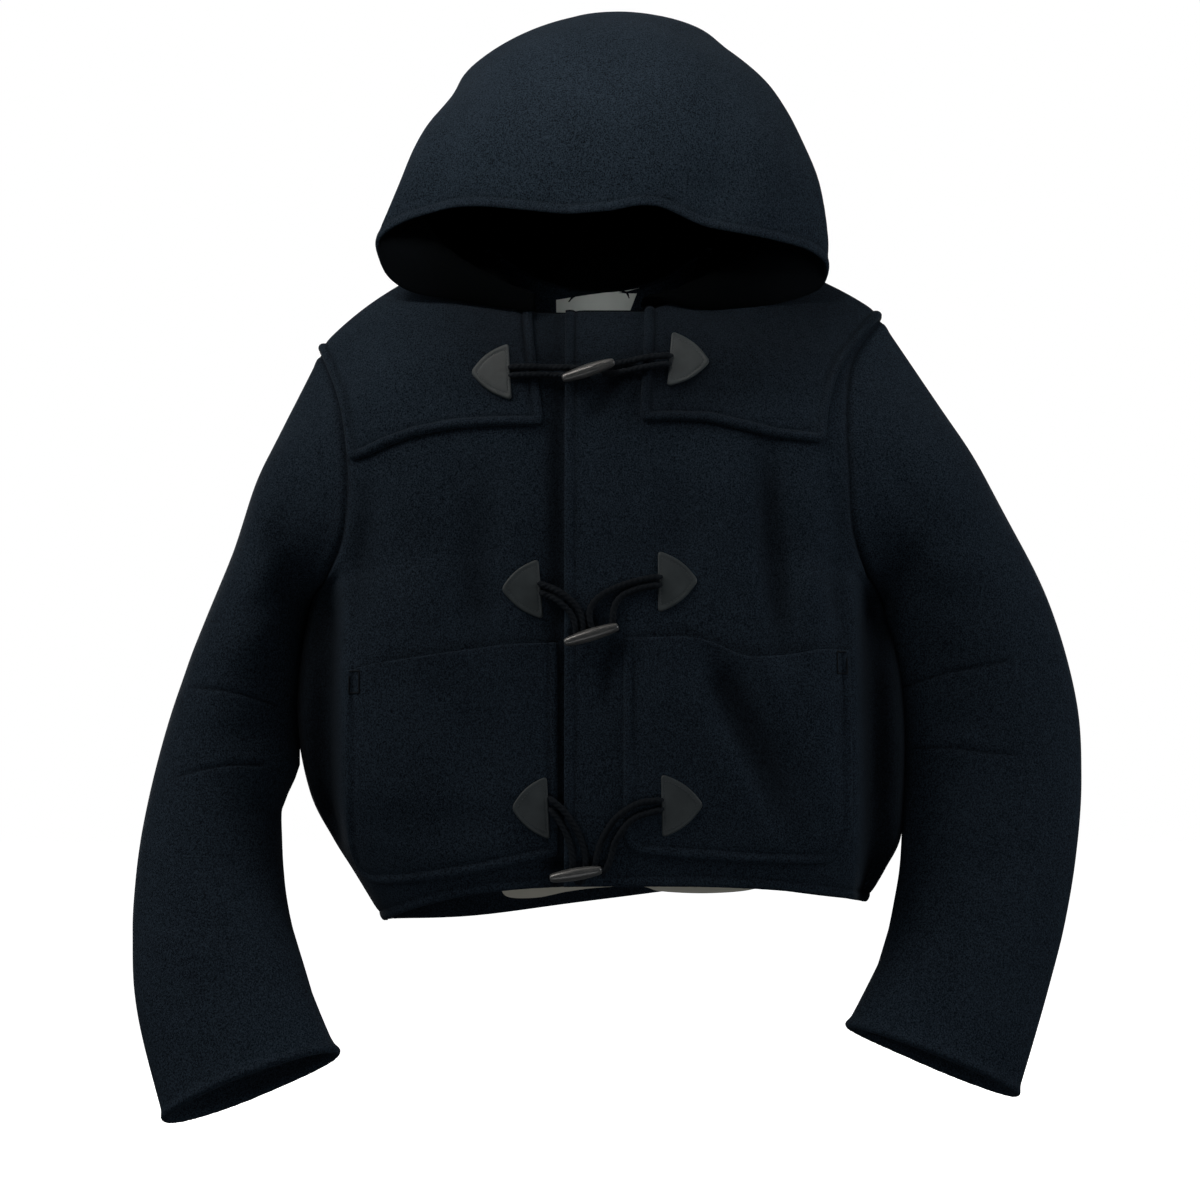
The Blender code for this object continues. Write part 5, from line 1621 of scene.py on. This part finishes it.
def horn_look(wire):
    place = wire.node("TexCoord", {}, {}, "Generated")
    drawn = wire.node("Mapping", {}, {"Vector": place, "Scale": (9.0, 9.0, 0.9)})
    streaks = noise(wire, drawn, 3.0, 6.0, 0.65)
    sharp = streaks.node("ValToRGB", {"stops": (0.46, 0.72)}, {"Fac": streaks})
    colour = sharp.blend((0.030, 0.031, 0.032), (0.120, 0.118, 0.112))
    bump = bumped(wire, streaks, 0.0001, 0.25)
    return {"Base_Color": colour, "Normal": bump, "Roughness": streaks * 0.16 + 0.22}


HORN = finish("horn_dark", horn_look, Specular_IOR_Level=0.7)

for name, ends in TOGGLES.items():
    ends = np.array(ends, float)
    (x, z), half = ends.mean(axis=0), np.linalg.norm(ends[1] - ends[0]) / 2
    way = (ends[1] - ends[0]) / 2 / half
    radii, places = zip(*TOGGLE_HALF)
    y = 0.0
    for route in (route for cord_name, route in routes.items() if cord_name[-1] == name[-1]):
        line = along_line(route, np.arange(len(route)), np.arange(0, len(route) - 1, 0.1)).T
        along = ((line[0] - x) * way[0] + (line[2] - z) * way[1]) / half
        beside = (line[0] - x) * way[1] - (line[2] - z) * way[0]
        apart = np.interp(np.abs(along), places, radii) * TOGGLE_RADIUS + CORD_RADIUS
        near = (np.abs(beside) < apart) & (np.abs(along) < 1)
        y = min([y, *(line[1] - np.sqrt(np.maximum(apart**2 - beside**2, 0)))[near]])
    profile = [(radius, -place) for radius, place in TOGGLE_HALF[::-1]] + TOGGLE_HALF[1:]
    rows = curve(np.array(profile, float), np.linspace(0, len(profile) - 1, 61))
    mesh = bpy.data.meshes.new(name)
    shape = bmesh.new()
    rings = []
    turns = [2 * math.pi * n / TOGGLE_SIDES for n in range(TOGGLE_SIDES)]
    for radius, place in rows[1:-1]:
        wide, up = max(radius, 0) * TOGGLE_RADIUS * MM, place * half * MM
        rings.append([shape.verts.new((wide * math.cos(turn), wide * math.sin(turn), up)) for turn in turns])
    for low, high in zip(rings, rings[1:]):
        for n in range(TOGGLE_SIDES):
            m = (n + 1) % TOGGLE_SIDES
            shape.faces.new((low[n], low[m], high[m], high[n]))
    for ring, place in ((rings[0][::-1], -half), (rings[-1], half)):
        tip = shape.verts.new((0, 0, place * MM))
        for n in range(TOGGLE_SIDES):
            shape.faces.new((ring[n], ring[(n + 1) % TOGGLE_SIDES], tip))
    shape.to_mesh(mesh)
    shape.free()
    piece = placed(f"horn_{name}", mesh, HORN)
    piece.location = (x * MM, y * MM, z * MM)
    piece.rotation_euler = (0, math.atan2(*(ends[1] - ends[0])), 0)
    worn(piece, name)

# ---------------------------------------------------------------- neck label, hanging loop and lining
# A blank woven label hangs inside the back neck under a thin hanging loop, and a strip of pale lining shows
# inside the back hem.

BACK_INSIDE = faces_under([bpy.data.objects["melton_back"]])
LABEL_THICK, LINING_THICK, LOOP_RADIUS = 0.6, 0.8, 1.0
LABEL_TOP = [(-42, -28), (-14, -24), (14, -20.5), (38, -16.5)]
LABEL_HEIGHT = 30.0
LABEL_CURL = 0.45  # how far in its left end comes for each millimetre down
LOOP = [(-30, -30), (-24, -25), (-8, -21.5), (8, -19.5), (24, -21.5), (28, -27)]
LINING_LOW = [
    *[(-175, -580), (-140, -578), (-110, -580), (-97, -585), (-88, -597), (-60, -598), (-32, -592.5)],
    *[(0, -588.5), (39, -587.5), (57, -592), (95, -594), (133, -592), (154, -587), (168, -578), (190, -574)],
]
LINING_HEIGHT = 70.0
BELOW_NECK = (-56.0, -34.0)  # two heights inside the back, whose line the label goes on with
LABEL_FORWARD = 4.0  # how far its top leans away from the neckline


def inside_y(x, z):
    """How far back the back's inside is at x and z, or as little above z as there is cloth."""
    for up in range(0, 60, 3):
        hit = BACK_INSIDE.ray_cast(Vector((x * MM, 0, (z + up) * MM)), Vector((0, 1, 0)))[0]
        if hit:
            break
    return hit.y / MM


def label_y(x, z):
    z_low, z_high = BELOW_NECK
    low, high = inside_y(x, z_low), inside_y(x, z_high)
    straight = high + (high - low) / (z_high - z_low) * (z - z_high)
    return straight - ON_TOP - LABEL_FORWARD * smooth_step((z + 38) / 14)


def woven_look(low, high, weave):
    def look(wire):
        place = on_piece(wire)
        across = wire.node("TexWave", {"bands_direction": "X"}, {"Vector": place, "Scale": weave})
        down = wire.node("TexWave", {"bands_direction": "Z"}, {"Vector": place, "Scale": weave})
        worn_in = noise(wire, place, 45.0)
        threads = across * 0.5 + down * 0.5
        colour = (threads * 0.4 + worn_in * 0.6).blend(low, high)
        return {"Base_Color": colour, "Normal": bumped(wire, threads, 0.00015, 0.4)}

    return look


LABEL = finish("label_grey", woven_look((0.62, 0.66, 0.62), (0.84, 0.88, 0.84), 520.0), Roughness=0.7)
LINING = finish("lining_beige", woven_look((0.60, 0.58, 0.49), (0.80, 0.77, 0.66), 420.0), Roughness=0.55)


def thin_cloth(name, rows, thickness, material, step=1.6):
    """A thin strip of cloth from a few rows of points, made fine."""
    rows = np.array(rows, float)
    height, width = (np.linalg.norm(rows[0, 0] - corner) for corner in (rows[-1, 0], rows[0, -1]))
    down = np.linspace(0, len(rows) - 1, int(height / step) + 2)
    across = np.linspace(0, rows.shape[1] - 1, int(width / step / 1.4) + 2)
    columns = [curve(rows[:, n], down) for n in range(rows.shape[1])]
    fine = np.stack([curve(np.array(row), across) for row in zip(*columns)])
    piece = wall(name, fine, fine - normals_of(fine) * thickness, material)
    cut_out(fine)
    return piece


label_rows = [
    [(x - LABEL_CURL * down * (x > 20), label_y(x, z - down), z - down) for x, z in LABEL_TOP]
    for down in np.linspace(0, LABEL_HEIGHT, 4)
]
label = thin_cloth("woven_neck_label", label_rows, LABEL_THICK, LABEL)
worn(label, "neck_label")
loop = np.array([(x, label_y(x, z) - LABEL_THICK - ON_TOP - LOOP_RADIUS, z) for x, z in LOOP])
worn(rope("twisted_hanger_loop", loop, LOOP_RADIUS, 2, step=0.8), "hanger_loop")
lining_rows = [
    [(x, inside_y(x, z + up) - ON_TOP, z + up) for x, z in LINING_LOW]
    for up in (LINING_HEIGHT, LINING_HEIGHT / 2, 0)
]
lining = thin_cloth("satin_lining_strip", lining_rows, LINING_THICK, LINING, 3.0)
worn(lining, "lining_strip")
